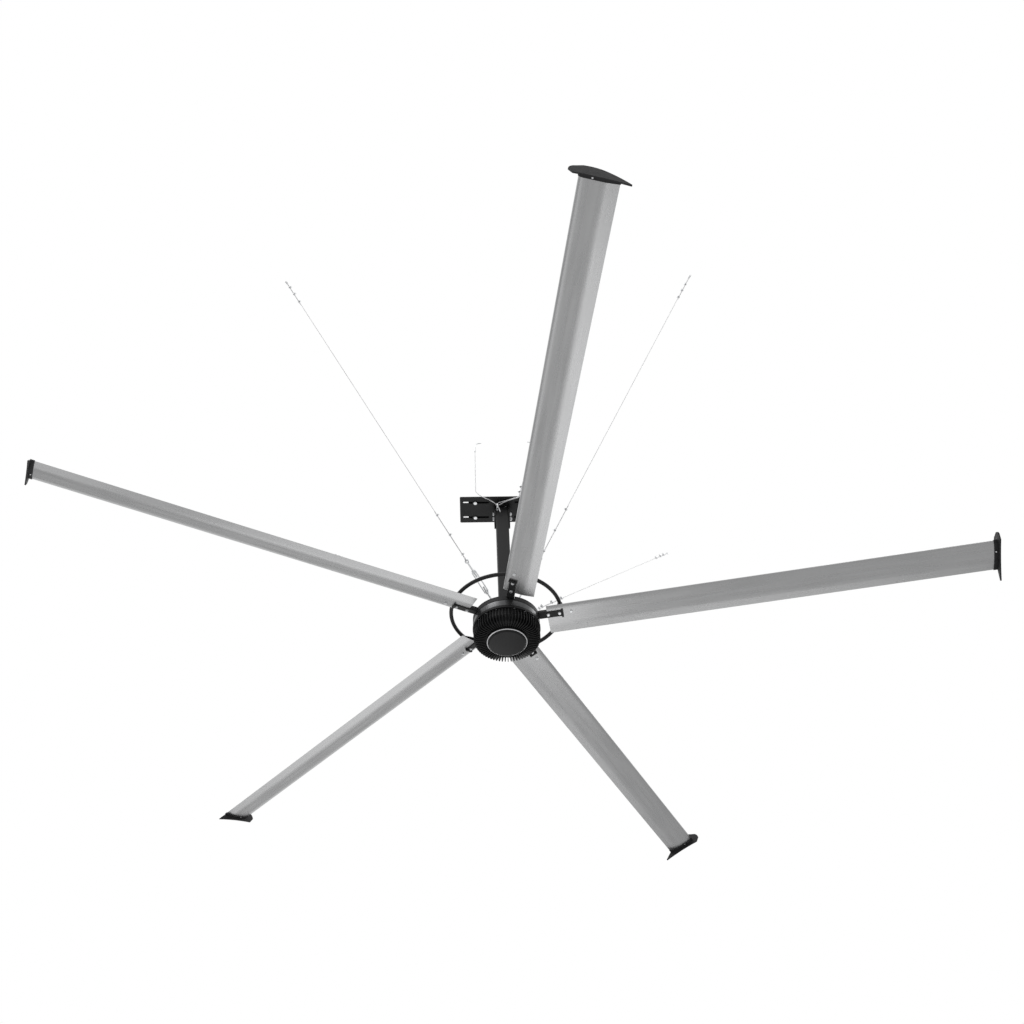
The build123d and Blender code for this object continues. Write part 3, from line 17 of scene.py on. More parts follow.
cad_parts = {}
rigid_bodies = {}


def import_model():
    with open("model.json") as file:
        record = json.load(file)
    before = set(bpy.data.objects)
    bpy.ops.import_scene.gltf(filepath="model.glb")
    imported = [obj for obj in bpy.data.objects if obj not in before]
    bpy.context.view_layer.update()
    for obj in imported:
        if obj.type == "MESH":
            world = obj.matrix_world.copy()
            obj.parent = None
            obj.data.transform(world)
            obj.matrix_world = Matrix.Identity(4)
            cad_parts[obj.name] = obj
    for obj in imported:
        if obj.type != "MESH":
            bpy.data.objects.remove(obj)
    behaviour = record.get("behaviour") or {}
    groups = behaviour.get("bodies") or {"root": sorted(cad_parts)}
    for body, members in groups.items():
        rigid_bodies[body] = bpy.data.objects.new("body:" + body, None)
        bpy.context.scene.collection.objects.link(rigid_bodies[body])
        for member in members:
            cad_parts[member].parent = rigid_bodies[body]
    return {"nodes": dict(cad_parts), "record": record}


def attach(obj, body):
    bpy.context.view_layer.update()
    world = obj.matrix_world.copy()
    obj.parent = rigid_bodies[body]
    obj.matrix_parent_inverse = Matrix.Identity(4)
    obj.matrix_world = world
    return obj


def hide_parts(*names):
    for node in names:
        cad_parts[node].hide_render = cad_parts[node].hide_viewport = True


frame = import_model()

log = logging.getLogger("ceiling_fan")
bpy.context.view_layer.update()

HUB_LEVEL = -1.100
STRUT_LEVEL = -1.087
FIRST_BEARING = math.radians(-83.15)
BLADE_COUNT = 5
PITCH = math.radians(17.0)
CONTROL_POINT_ORDER = 3
WEAR_AND_HIGHLIGHT_RADIUS = 0.0012
DUST_COLOUR = (0.33, 0.32, 0.30)
NUT_SHARE = 0.84
WHITE = (1.0, 1.0, 1.0, 1.0)
MIX_COLOURS = (6, 7)
MIX_RESULT = 2
RELIEF_INPUTS = (("Vector", "Vector"), ("Scale", "Float"))
RELIEF_OUTPUTS = (("Height", "Float"), ("Shade", "Float"))

Point = tuple[float, float, float]
Colour = tuple[float, float, float]
Outline = list[tuple[float, float]]


class Body(Enum):
    """The frame's bodies."""

    STILL = "mount_and_stator"
    ROTOR = "rotor"


class Pattern(Enum):
    """How a finish's relief runs over the surface."""

    EVEN = "even"
    DRAWN = "drawn"
    LAMINATED = "laminated"


# Node trees


class Sheet:
    """A node tree with short calls for adding nodes and wiring them."""

    def __init__(self, tree: bpy.types.NodeTree) -> None:
        """Wraps the tree that the nodes go into."""
        self.tree = tree

    def add(self, kind: str, inputs: dict | None = None, **settings: object) -> bpy.types.Node:
        """Adds a node.

        Args:
            kind: the node's type name.
            inputs: input name or number to a value, or to an output socket that feeds it.
            settings: properties of the node itself.

        Returns:
            The new node.
        """
        node = self.tree.nodes.new(kind)
        for name, value in settings.items():
            setattr(node, name, value)
        for name, value in (inputs or {}).items():
            if isinstance(value, bpy.types.NodeSocket):
                self.tree.links.new(value, node.inputs[name])
            else:
                node.inputs[name].default_value = value
        return node

    def math(self, operation: str, first: object, second: object = 0.0) -> bpy.types.NodeSocket:
        """Adds a Math node on two values or sockets, and gives its result."""
        return self.add("ShaderNodeMath", {0: first, 1: second}, operation=operation).outputs[0]

    def remap(self, value: bpy.types.NodeSocket, low: float, high: float,
              new_low: float = 0.0, new_high: float = 1.0) -> bpy.types.NodeSocket:
        """Maps the range from low to high to the range from new_low to new_high, clamped."""
        inputs = {"Value": value, "From Min": low, "From Max": high, "To Min": new_low, "To Max": new_high}
        return self.add("ShaderNodeMapRange", inputs).outputs[0]

    def weighted(self, first: bpy.types.NodeSocket, second: bpy.types.NodeSocket,
                 share: float) -> bpy.types.NodeSocket:
        """Adds a mean of two values, in which share is the weight of the first one."""
        main, rest = self.math("MULTIPLY", first, share), self.math("MULTIPLY", second, 1.0 - share)
        return self.math("ADD", main, rest)

    def noise(self, vector: bpy.types.NodeSocket, scale: object, detail: float) -> bpy.types.NodeSocket:
        """Adds noise with a scale in waves a metre and a detail in octaves, and gives its value."""
        inputs = {"Vector": vector, "Scale": scale, "Detail": detail}
        return self.add("ShaderNodeTexNoise", inputs).outputs[0]

    def blend(self, mask: object, first: object, second: object) -> bpy.types.NodeSocket:
        """Mixes two colours.

        Args:
            mask: value or socket, 0 for the first colour.
            first: colour or socket.
            second: colour or socket.

        Returns:
            The mixed colour.
        """
        node = self.add("ShaderNodeMix", {0: mask}, data_type="RGBA")
        for socket, value in zip(MIX_COLOURS, (first, second)):
            if isinstance(value, bpy.types.NodeSocket):
                self.tree.links.new(value, node.inputs[socket])
            else:
                node.inputs[socket].default_value = (*value, 1.0)
        return node.outputs[MIX_RESULT]

    def hand_over(self, geometry: bpy.types.NodeSocket, given: bpy.types.Node,
                  result: bpy.types.Node) -> None:
        """Ends a geometry tree with Realize Instances and Set Material.

        Args:
            geometry: the geometry's socket.
            given: the tree's input node, which has a Finish socket.
            result: the tree's output node.
        """
        real = self.add("GeometryNodeRealizeInstances", {0: geometry})
        dressed = self.add("GeometryNodeSetMaterial",
                           {"Geometry": real.outputs[0], "Material": given.outputs["Finish"]})
        self.tree.links.new(dressed.outputs[0], result.inputs[0])


def new_group(name: str, kind: str, inputs: Sequence[tuple[str, str]],
              outputs: Sequence[tuple[str, str]]) -> tuple[Sheet, bpy.types.Node, bpy.types.Node]:
    """Makes a node group with named sockets.

    Args:
        name: the group's name.
        kind: the tree's type.
        inputs: name and socket type of each input.
        outputs: name and socket type of each output.

    Returns:
        The group as a sheet, its input node and its output node.
    """
    tree = bpy.data.node_groups.new(name, kind)
    for way, sockets in (("INPUT", inputs), ("OUTPUT", outputs)):
        for label, socket_type in sockets:
            tree.interface.new_socket(label, in_out=way, socket_type="NodeSocket" + socket_type)
    sheet = Sheet(tree)
    return sheet, sheet.add("NodeGroupInput"), sheet.add("NodeGroupOutput")


@dataclass
class SurfaceGroups:
    """Shader groups that several finishes share: grain, drawn lines, edge wear with painted edge highlights,
    and dust.
    """

    shade_range: tuple[float, float] = (0.3, 0.7)
    cloud_scale: float = 0.02
    cloud_share: float = 0.75
    line_stretch: float = 0.004
    streak_stretch: float = 0.05
    streak_scale: float = 0.05
    streak_share: float = 0.6
    haze_scale: float = 3.0
    edge_range: tuple[float, float] = (0.97, 0.75)
    patch_scale: float = 60.0
    patch_range: tuple[float, float] = (0.42, 0.62)
    upward_range: tuple[float, float] = (0.35, 1.0)
    dust_scale: float = 14.0
    dust_range: tuple[float, float] = (0.35, 0.7)
    least_dust: float = 0.15

    def __post_init__(self) -> None:
        """Builds each group once."""
        self.grain = self._grain()
        self.drawn = self._drawn()
        self.wear_and_highlight = self._wear_and_highlight()
        self.dust = self._dust()

    def _grain(self) -> bpy.types.NodeTree:
        """Even relief: fine bumps for the height and slow clouds for the shade.

        Returns:
            The group's tree.
        """
        sheet, given, result = new_group("grain", "ShaderNodeTree", RELIEF_INPUTS, RELIEF_OUTPUTS)
        fine = sheet.noise(given.outputs["Vector"], given.outputs["Scale"], detail=3.0)
        slow_scale = sheet.math("MULTIPLY", given.outputs["Scale"], self.cloud_scale)
        slow = sheet.noise(given.outputs["Vector"], slow_scale, detail=4.0)
        shade = sheet.weighted(slow, fine, self.cloud_share)
        sheet.tree.links.new(fine, result.inputs["Height"])
        sheet.tree.links.new(sheet.remap(shade, *self.shade_range), result.inputs["Shade"])
        return sheet.tree

    def _drawn(self) -> bpy.types.NodeTree:
        """Die lines along the first axis, with slow clouds between them.

        Returns:
            The group's tree.
        """
        sheet, given, result = new_group("drawn_lines", "ShaderNodeTree", RELIEF_INPUTS, RELIEF_OUTPUTS)
        place, scale = given.outputs["Vector"], given.outputs["Scale"]
        along = sheet.add("ShaderNodeMapping", {"Vector": place, "Scale": (self.line_stretch, 1.0, 1.0)})
        lines = sheet.noise(along.outputs[0], scale, detail=4.0)
        broad = sheet.add("ShaderNodeMapping", {"Vector": place, "Scale": (self.streak_stretch, 1.0, 1.0)})
        streak_scale = sheet.math("MULTIPLY", scale, self.streak_scale)
        streaks = sheet.noise(broad.outputs[0], streak_scale, detail=3.0)
        clouds = sheet.noise(place, self.haze_scale, detail=3.0)
        shade = sheet.weighted(streaks, clouds, self.streak_share)
        sheet.tree.links.new(lines, result.inputs["Height"])
        sheet.tree.links.new(sheet.remap(shade, *self.shade_range), result.inputs["Shade"])
        return sheet.tree

    def _wear_and_highlight(self) -> bpy.types.NodeTree:
        """Mask of rubbed edges that are also painted edge highlights, from the bend that a rounded normal
        shows there.

        Returns:
            The group's tree.
        """
        sockets = [("Vector", "Vector"), ("Radius", "Float")]
        sheet, given, result = new_group("edge_wear", "ShaderNodeTree", sockets, [("Mask", "Float")])
        rounded = sheet.add("ShaderNodeBevel", {"Radius": given.outputs["Radius"]}, samples=4)
        flat = sheet.add("ShaderNodeNewGeometry").outputs["Normal"]
        dot = sheet.add("ShaderNodeVectorMath", {0: rounded.outputs[0], 1: flat}, operation="DOT_PRODUCT")
        edge = sheet.remap(dot.outputs["Value"], *self.edge_range)
        noise = sheet.noise(given.outputs["Vector"], self.patch_scale, detail=5.0)
        patches = sheet.remap(noise, *self.patch_range)
        sheet.tree.links.new(sheet.math("MULTIPLY", edge, patches), result.inputs["Mask"])
        return sheet.tree

    def _dust(self) -> bpy.types.NodeTree:
        """Mask of dust that settles on faces that look up.

        Returns:
            The group's tree.
        """
        sockets = [("Vector", "Vector")]
        sheet, given, result = new_group("settled_dust", "ShaderNodeTree", sockets, [("Mask", "Float")])
        normal = sheet.add("ShaderNodeNewGeometry").outputs["Normal"]
        facing = sheet.add("ShaderNodeSeparateXYZ", {0: normal})
        up = sheet.remap(facing.outputs["Z"], *self.upward_range)
        noise = sheet.noise(given.outputs["Vector"], self.dust_scale, detail=6.0)
        clouds = sheet.remap(noise, *self.dust_range, self.least_dust)
        sheet.tree.links.new(sheet.math("MULTIPLY", up, clouds), result.inputs["Mask"])
        return sheet.tree


# Finishes


@dataclass(frozen=True)
class Finish:
    """One finish: colour, gloss, relief, rubbed edges with painted edge highlights, and settled dust."""

    slot: str
    colour: Colour
    roughness: float
    metallic: float = 0.0
    specular: float = 0.5
    coat: float = 0.0
    coat_roughness: float = 0.1
    pattern: Pattern = Pattern.EVEN
    grain: float = 500.0
    relief: float = 0.0001
    shade: float = 0.15
    roughness_spread: float = 0.08
    worn_and_highlight_colour: Colour = (0.3, 0.3, 0.3)
    wear_and_highlight: float = 0.0
    dust: float = 0.0
    uses_uv: bool = False

    def material(self, groups: SurfaceGroups) -> bpy.types.Material:
        """Makes the finish's material.

        Args:
            groups: the shared shader groups.

        Returns:
            The material, named for the slot.
        """
        material = bpy.data.materials.new(self.slot)
        material.use_nodes = True
        sheet = Sheet(material.node_tree)
        shader = material.node_tree.nodes["Principled BSDF"]
        self._fixed(shader)
        place = sheet.add("ShaderNodeTexCoord").outputs["UV" if self.uses_uv else "Object"]
        height, cloud = self._relief(sheet, groups, place)
        colour = self._colour(sheet, groups, place, cloud)
        roughness = sheet.remap(cloud, 0.0, 1.0, self.roughness - self.roughness_spread,
                                self.roughness + self.roughness_spread)
        bump = sheet.add("ShaderNodeBump", {"Height": height, "Distance": self.relief, "Strength": 1.0})
        sheet.tree.links.new(colour, shader.inputs["Base Color"])
        sheet.tree.links.new(roughness, shader.inputs["Roughness"])
        sheet.tree.links.new(bump.outputs[0], shader.inputs["Normal"])
        material.diffuse_color = (*self.colour, 1.0)
        return material

    def _colour(self, sheet: Sheet, groups: SurfaceGroups, place: bpy.types.NodeSocket,
                cloud: bpy.types.NodeSocket) -> bpy.types.NodeSocket:
        """Adds the colour's nodes: clouded shade, edges lightened as wear and as painted edge highlight, and
        settled dust.

        Args:
            sheet: the material's tree.
            groups: the shared shader groups.
            place: the coordinates' socket.
            cloud: the shade's socket.

        Returns:
            The colour's socket.
        """
        dark = tuple(c * (1.0 - self.shade) for c in self.colour)
        light = tuple(min(1.0, c * (1.0 + self.shade)) for c in self.colour)
        colour = sheet.blend(cloud, dark, light)
        # Edges mixed towards a lighter colour: partly rubbed wear, partly a painted edge highlight.
        if self.wear_and_highlight > 0.0:
            inputs = {"Vector": place, "Radius": WEAR_AND_HIGHLIGHT_RADIUS}
            rubbed_and_highlighted = sheet.add("ShaderNodeGroup", inputs, node_tree=groups.wear_and_highlight).outputs[0]
            colour = sheet.blend(sheet.math("MULTIPLY", rubbed_and_highlighted, self.wear_and_highlight), colour, self.worn_and_highlight_colour)
        if self.dust > 0.0:
            settled = sheet.add("ShaderNodeGroup", {"Vector": place}, node_tree=groups.dust).outputs[0]
            colour = sheet.blend(sheet.math("MULTIPLY", settled, self.dust), colour, DUST_COLOUR)
        return colour

    def _fixed(self, shader: bpy.types.Node) -> None:
        """Sets the numbers that are the same all over the surface.

        Args:
            shader: the material's Principled node.
        """
        shader.inputs["Metallic"].default_value = self.metallic
        shader.inputs["Specular IOR Level"].default_value = self.specular
        shader.inputs["Coat Weight"].default_value = self.coat
        shader.inputs["Coat Roughness"].default_value = self.coat_roughness

    def _relief(self, sheet: Sheet, groups: SurfaceGroups,
                place: bpy.types.NodeSocket) -> tuple[bpy.types.NodeSocket, bpy.types.NodeSocket]:
        """Adds the relief's nodes.

        Args:
            sheet: the material's tree.
            groups: the shared shader groups.
            place: the coordinates' socket.

        Returns:
            The height's socket and the shade's socket.
        """
        tree = groups.grain if self.pattern is Pattern.EVEN else groups.drawn
        if self.pattern is Pattern.LAMINATED:
            layers = {"Vector": place, "Rotation": (0.0, math.pi / 2, 0.0),
                      "Scale": (1.0, groups.line_stretch, 1.0)}
            place = sheet.add("ShaderNodeMapping", layers).outputs[0]
        node = sheet.add("ShaderNodeGroup", {"Vector": place, "Scale": self.grain}, node_tree=tree)
        return node.outputs["Height"], node.outputs["Shade"]


FINISHES = (
    Finish("black_coat", (0.0095, 0.0095, 0.01), 0.5, specular=0.28, grain=420.0, relief=0.0002,
           shade=0.25, worn_and_highlight_colour=(0.13, 0.13, 0.135), wear_and_highlight=0.45, dust=0.4),
    Finish("black_casting", (0.008, 0.008, 0.0085), 0.55, specular=0.25, grain=300.0, relief=0.0004,
           shade=0.3, worn_and_highlight_colour=(0.1, 0.1, 0.105), wear_and_highlight=0.35, dust=0.45),
    Finish("black_gloss", (0.009, 0.009, 0.0095), 0.38, specular=0.18, coat=0.04, coat_roughness=0.2,
           grain=250.0, relief=0.00003, roughness_spread=0.06, worn_and_highlight_colour=(0.1, 0.1, 0.1), wear_and_highlight=0.3),
    Finish("blade_aluminium", (0.43, 0.432, 0.435), 0.28, metallic=0.9, specular=0.5, grain=900.0,
           pattern=Pattern.DRAWN, relief=0.00006, shade=0.06, roughness_spread=0.05, dust=0.2, uses_uv=True),
    Finish("winglet_plastic", (0.016, 0.016, 0.017), 0.6, specular=0.3, grain=1300.0, relief=0.00025,
           shade=0.2, worn_and_highlight_colour=(0.08, 0.08, 0.082), wear_and_highlight=0.35, dust=0.35),
    Finish("zinc_steel", (0.72, 0.73, 0.74), 0.33, metallic=1.0, grain=260.0, relief=0.00008,
           shade=0.14, roughness_spread=0.12, worn_and_highlight_colour=(0.8, 0.8, 0.81), wear_and_highlight=0.3, dust=0.2),
    Finish("wire_rope", (0.8, 0.8, 0.81), 0.42, metallic=0.5, grain=600.0, relief=0.00006,
           shade=0.15, dust=0.1),
    Finish("machined_steel", (0.66, 0.66, 0.67), 0.3, metallic=1.0, grain=700.0, relief=0.00003,
           shade=0.08),
    Finish("core_steel", (0.095, 0.096, 0.098), 0.36, metallic=0.9, grain=900.0,
           pattern=Pattern.LAMINATED, relief=0.00008, shade=0.15, dust=0.2),
    Finish("copper", (0.45, 0.17, 0.07), 0.35, metallic=1.0, grain=500.0, relief=0.0002, shade=0.2),
    Finish("magnet", (0.33, 0.33, 0.34), 0.4, metallic=1.0, grain=400.0, relief=0.00004, shade=0.1),
    Finish("seal_rubber", (0.018, 0.018, 0.018), 0.8, grain=900.0, relief=0.0001, shade=0.2),
    Finish("black_nylon", (0.016, 0.016, 0.017), 0.5, grain=1100.0, relief=0.00012, dust=0.3),
)


class Palette:
    """The finishes' materials by the record's slot names."""

    def __init__(self) -> None:
        """Makes every material once."""
        groups = SurfaceGroups()
        self.by_slot = {finish.slot: finish.material(groups) for finish in FINISHES}

    def dress_frame(self) -> None:
        """Gives each node of the frame its slot's material."""
        for part in frame["record"]["subparts"]:
            node = frame["nodes"][part["node"]]
            if not node.data.materials:
                node.data.materials.append(None)
            for slot in node.material_slots:
                slot.link = "DATA"
                slot.material = self.by_slot[part["material_slot"]]
            node.data.polygons.foreach_set("material_index", [0] * len(node.data.polygons))


# Meshes


def turn_z(angle: float) -> Matrix:
    """Turn about Z as a matrix."""
    return Matrix.Rotation(angle, 4, "Z")


def bearing_of(number: int) -> float:
    """Bearing of a blade, counted from 0, in radians."""
    return FIRST_BEARING + number * math.tau / BLADE_COUNT


def deck_place(bearing: float, station: float, across: float, height: float, flipped: bool = False) -> Matrix:
    """A place on a strut's own plane.

    Args:
        bearing: the strut's bearing.
        station: distance from the fan's axis.
        across: distance towards the trailing edge.
        height: distance from the plane, square to the blade.
        flipped: whether the piece points down.

    Returns:
        The place as a matrix.
    """
    tilt = Matrix.Rotation(-PITCH, 4, "X")
    base = turn_z(bearing) @ Matrix.Translation((0.0, 0.0, STRUT_LEVEL)) @ tilt
    place = base @ Matrix.Translation((station, across, height))
    return place @ Matrix.Rotation(math.pi, 4, "X") if flipped else place


def piece(name: str, mesh: bpy.types.Mesh, body: Body,
          replaced: Sequence[str] = ()) -> bpy.types.Object:
    """Puts a finished mesh into the scene.

    Args:
        name: the piece's name.
        mesh: its mesh, already in the frame's place.
        body: the body that it rides on.
        replaced: nodes of the frame that it stands for.

    Returns:
        The new object.
    """
    thing = bpy.data.objects.new(name, mesh)
    mesh.name = name
    bpy.context.scene.collection.objects.link(thing)
    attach(thing, body.value)
    if replaced:
        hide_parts(*replaced)
    log.info("%s: %d faces, on %s", name, len(mesh.polygons), body.value)
    return thing


def finished(shape: bmesh.types.BMesh, name: str, material: bpy.types.Material | None,
             sharp: float = 30.0) -> bpy.types.Mesh:
    """Turns a bmesh into a smooth mesh with hard edges past an angle.

    Args:
        shape: the bmesh, which is freed.
        name: the mesh's name.
        material: its material.
        sharp: the angle in degrees.

    Returns:
        The mesh.
    """
    bmesh.ops.recalc_face_normals(shape, faces=shape.faces)
    mesh = bpy.data.meshes.new(name)
    shape.to_mesh(mesh)
    shape.free()
    if material:
        mesh.materials.append(material)
    mesh.shade_smooth()
    mesh.set_sharp_from_angle(angle=math.radians(sharp))
    return mesh


def lofted(rings: Sequence[Sequence[Point]], closed: bool = False) -> bmesh.types.BMesh:
    """Skin over rings of points.

    Args:
        rings: rings with the same number of points each.
        closed: whether the last ring joins the first, and otherwise both ends are capped.

    Returns:
        The skin as a bmesh.
    """
    shape = bmesh.new()
    rows = [[shape.verts.new(p) for p in ring] for ring in rings]
    pairs = list(zip(rows, rows[1:])) + ([(rows[-1], rows[0])] if closed else [])
    for low, high in pairs:
        for k in range(len(low)):
            n = (k + 1) % len(low)
            shape.faces.new((low[k], low[n], high[n], high[k]))
    if not closed:
        shape.faces.new(rows[0][::-1])
        shape.faces.new(rows[-1])
    return shape


def turned(section: Sequence[tuple[float, float]], steps: int) -> bmesh.types.BMesh:
    """Closed section turned about the hub's axis.

    Args:
        section: radius and height over the hub's level of each point, in order.
        steps: steps round the axis.

    Returns:
        The turned skin as a bmesh.
    """
    rings = []
    for k in range(steps):
        angle = math.tau * k / steps
        rings.append([(r * math.cos(angle), r * math.sin(angle), HUB_LEVEL + z) for r, z in section])
    return lofted(rings, closed=True)


def hex_radius(angle: float, flats: float) -> float:
    """Distance from a hexagon's middle to its side, at an angle counted from a corner."""
    sixth = math.pi / 3
    return flats / 2 / math.cos(angle % sixth - sixth / 2)


def grown(source: bpy.types.Object, tree: bpy.types.NodeTree, values: dict[str, object]) -> bpy.types.Mesh:
    """Runs a geometry tree on an object and keeps the result as a plain mesh.

    Args:
        source: the object that carries the modifier, removed afterwards.
        tree: the geometry tree.
        values: the tree's named inputs.

    Returns:
        The plain mesh.
    """
    modifier = source.modifiers.new(tree.name, "NODES")
    modifier.node_group = tree
    named = {item.name: item.identifier for item in tree.interface.items_tree if item.in_out == "INPUT"}
    for name, value in values.items():
        modifier[named[name]] = value
    bpy.context.view_layer.update()
    depsgraph = bpy.context.evaluated_depsgraph_get()
    result = source.evaluated_get(depsgraph)
    mesh = bpy.data.meshes.new_from_object(result, preserve_all_data_layers=True, depsgraph=depsgraph)
    source.modifiers.remove(modifier)
    bpy.data.objects.remove(source)
    return mesh


def helper(name: str, data: bpy.types.ID) -> bpy.types.Object:
    """Links an object that isn't a piece: what a tree reads, the floor, a lamp or the camera.

    Args:
        name: the object's name.
        data: its mesh, curve, lamp or camera.

    Returns:
        The object.
    """
    thing = bpy.data.objects.new(name, data)
    bpy.context.scene.collection.objects.link(thing)
    return thing


# Ropes


@dataclass
class RopeTree:
    """Geometry tree that lays strands round a core strand along a route."""

    strands_across: float = 3.0
    swell: float = 1.02
    strand_sides: int = 6

    def __post_init__(self) -> None:
        """Builds the tree: resample, twist, sweep a ring of strands, realize, set the material."""
        sockets = [("Route", "Geometry"), ("Diameter", "Float"), ("Lay", "Float"), ("Strands", "Int"),
                   ("Step", "Float"), ("Finish", "Material")]
        sheet, given, result = new_group("laid_rope", "GeometryNodeTree", sockets, [("Rope", "Geometry")])
        route = sheet.add("GeometryNodeResampleCurve",
                          {"Curve": given.outputs["Route"], "Length": given.outputs["Step"]}, mode="LENGTH")
        length = sheet.add("GeometryNodeSplineParameter").outputs["Length"]
        turns = sheet.math("DIVIDE", length, given.outputs["Lay"])
        twisted = sheet.add("GeometryNodeSetCurveTilt",
                            {"Curve": route.outputs[0], "Tilt": sheet.math("MULTIPLY", turns, math.tau)})
        radius = sheet.math("DIVIDE", given.outputs["Diameter"], 2.0 * self.strands_across)
        seats = sheet.add("GeometryNodeMeshCircle", {"Vertices": given.outputs["Strands"],
                                                     "Radius": sheet.math("MULTIPLY", radius, 2.0)})
        swollen = sheet.math("MULTIPLY", radius, self.swell)
        strand = sheet.add("GeometryNodeCurvePrimitiveCircle",
                           {"Resolution": self.strand_sides, "Radius": swollen})
        around = sheet.add("GeometryNodeInstanceOnPoints",
                           {"Points": seats.outputs[0], "Instance": strand.outputs[0]})
        ring = sheet.add("GeometryNodeJoinGeometry")
        for part in (sheet.add("GeometryNodeRealizeInstances", {0: around.outputs[0]}), strand):
            sheet.tree.links.new(part.outputs[0], ring.inputs[0])
        swept = sheet.add("GeometryNodeCurveToMesh",
                          {"Curve": twisted.outputs[0], "Profile Curve": ring.outputs[0], "Fill Caps": True})
        sheet.hand_over(swept.outputs[0], given, result)
        self.tree = sheet.tree


@dataclass
class Rope:
    """One wire rope on its route."""

    name: str
    points: Sequence[Point]
    diameter: float
    length: float
    with_pieces: Sequence[str]
    lay_ratio: float = 6.5
    step_ratio: float = 0.6
    strands: int = 6
    route_steps: int = 24
    sharp: float = 60.0

    def route(self) -> bpy.types.Object:
        """Makes the route as a smooth open curve.

        Returns:
            The curve's object.
        """
        curve = bpy.data.curves.new(self.name + "_route", "CURVE")
        curve.dimensions = "3D"
        curve.resolution_u = self.route_steps
        spline = curve.splines.new("NURBS")
        spline.points.add(len(self.points) - 1)
        for target, point in zip(spline.points, self.points):
            target.co = (*point, 1.0)
        spline.order_u = CONTROL_POINT_ORDER
        spline.use_endpoint_u = True
        return helper(self.name + "_route", curve)

    def build(self, tree: bpy.types.NodeTree, material: bpy.types.Material) -> bpy.types.Object:
        """Args:
            tree: the rope's geometry tree.
            material: the rope's finish.

        Returns:
            The rope's object.
        """
        route = self.route()
        line = bpy.data.meshes.new_from_object(route)
        bpy.data.meshes.remove(line)
        values = {"Diameter": self.diameter, "Lay": self.diameter * self.lay_ratio, "Strands": self.strands,
                  "Step": self.diameter * self.step_ratio, "Finish": material}
        mesh = grown(route, tree, values)
        mesh.shade_smooth()
        mesh.set_sharp_from_angle(angle=math.radians(self.sharp))
        rope = piece(self.name + "_strands", mesh, Body.STILL, [self.name])
        return rope


@dataclass
class StayWires:
    """The four stay wires between the mast's lugs and their anchors."""

    bearings: tuple[float, ...] = (-138.9, -46.1, 45.2, 139.2)
    reaches: tuple[float, ...] = (2.759, 2.617, 2.969, 2.564)
    last_grips: tuple[float, ...] = (0.186, 0.186, 0.291, 0.190)
    lengths: tuple[float, ...] = (3.062, 2.920, 3.377, 2.871)
    diameter: float = 0.004
    lug_radius: float = 0.095
    lug_level: float = -1.014
    elevation: float = math.radians(46.0)
    near_loop: float = 0.3435
    near_tail: float = 0.744
    loop_depth: float = 0.032
    loop_half_width: float = 0.014
    neck: float = 0.024
    tail_offset: float = 0.0022
    tail_spare: float = 0.030

    def plane(self, number: int) -> Matrix:
        """A stay's own plane: x up along the wire from its lug hole, y square to it and up.

        Args:
            number: the stay, counted from 0.

        Returns:
            The plane as a matrix.
        """
        bearing = math.radians(self.bearings[number])
        outwards = Vector((math.cos(bearing), math.sin(bearing), 0.0))
        start = outwards * self.lug_radius + Vector((0.0, 0.0, self.lug_level))
        along = outwards * math.cos(self.elevation) + Vector((0.0, 0.0, math.sin(self.elevation)))
        normal = Vector((math.sin(bearing), -math.cos(bearing), 0.0))
        axes = Matrix((along, normal.cross(along), normal)).transposed().to_4x4()
        return Matrix.Translation(start) @ axes

    def points(self, number: int) -> list[Point]:
        """Route of one wire: a loop at each end and the tails laid beside the wire.

        Args:
            number: the stay, counted from 0.

        Returns:
            The route's points.
        """
        near, far = self.near_loop, self.reaches[number]
        wide, beside = self.loop_half_width, self.tail_offset
        eye, grip = self.loop_depth, self.loop_depth + self.neck
        flat = [(self.near_tail, -beside), (near + grip, -beside), (near + eye, -beside), (near, -wide),
                (near, wide), (near + eye, beside), (near + grip, beside),
                (far - grip, beside), (far - eye, beside), (far, wide),
                (far, -wide), (far - eye, -beside), (far - grip, -beside),
                (far - self.last_grips[number] - self.tail_spare, -beside)]
        plane = self.plane(number)
        return [tuple(plane @ Vector((x, y, 0.0))) for x, y in flat]

    def build(self, tree: bpy.types.NodeTree, material: bpy.types.Material) -> None:
        """Lays the four wires.

        Args:
            tree: the rope's geometry tree.
            material: the rope's finish.
        """
        fittings = ["wire_thimbles", "wire_grip_saddles", "wire_grip_ubolts"]
        for number, length in enumerate(self.lengths):
            Rope(f"guy_wire_{number + 1}", self.points(number), self.diameter, length,
                 fittings).build(tree, material)


@dataclass
class SafetyCable:
    """The safety cable's two runs between the mast's eye and what they hang from above the plate."""

    diameter: float = 0.006
    left_length: float = 0.788
    right_length: float = 1.067
    left: tuple[Point, ...] = (
        (-0.187, -0.131, 0.548), (-0.1861, -0.1328, 0.070), (-0.186, -0.133, 0.030), (-0.140, -0.131, -0.019),
        (-0.082, -0.112, -0.032), (-0.020, -0.066, -0.047), (-0.014, -0.081, -0.123))
    right: tuple[Point, ...] = (
        (0.245, -0.131, 0.548), (0.1277, -0.1291, 0.0152), (0.120, -0.129, -0.020),
        (0.0864, -0.1171, -0.0206), (-0.0094, -0.0830, -0.0221), (-0.043, -0.071, -0.0227),
        (-0.043, -0.071, -0.0413), (-0.018, -0.072, -0.0413), (0.020, -0.094, -0.0286),
        (0.0911, -0.1195, -0.0272), (0.1247, -0.1315, -0.0265), (0.1324, -0.1315, 0.0087),
        (0.1546, -0.1315, 0.110))

    def build(self, tree: bpy.types.NodeTree, material: bpy.types.Material) -> None:
        """Lays the two runs.

        Args:
            tree: the rope's geometry tree.
            material: the rope's finish.
        """
        Rope("safety_cable_left", self.left, self.diameter, self.left_length,
             ["safety_hooks"]).build(tree, material)
        Rope("safety_cable_right", self.right, self.diameter, self.right_length,
             ["safety_hooks", "wire_grip_saddles"]).build(tree, material)


# Blades


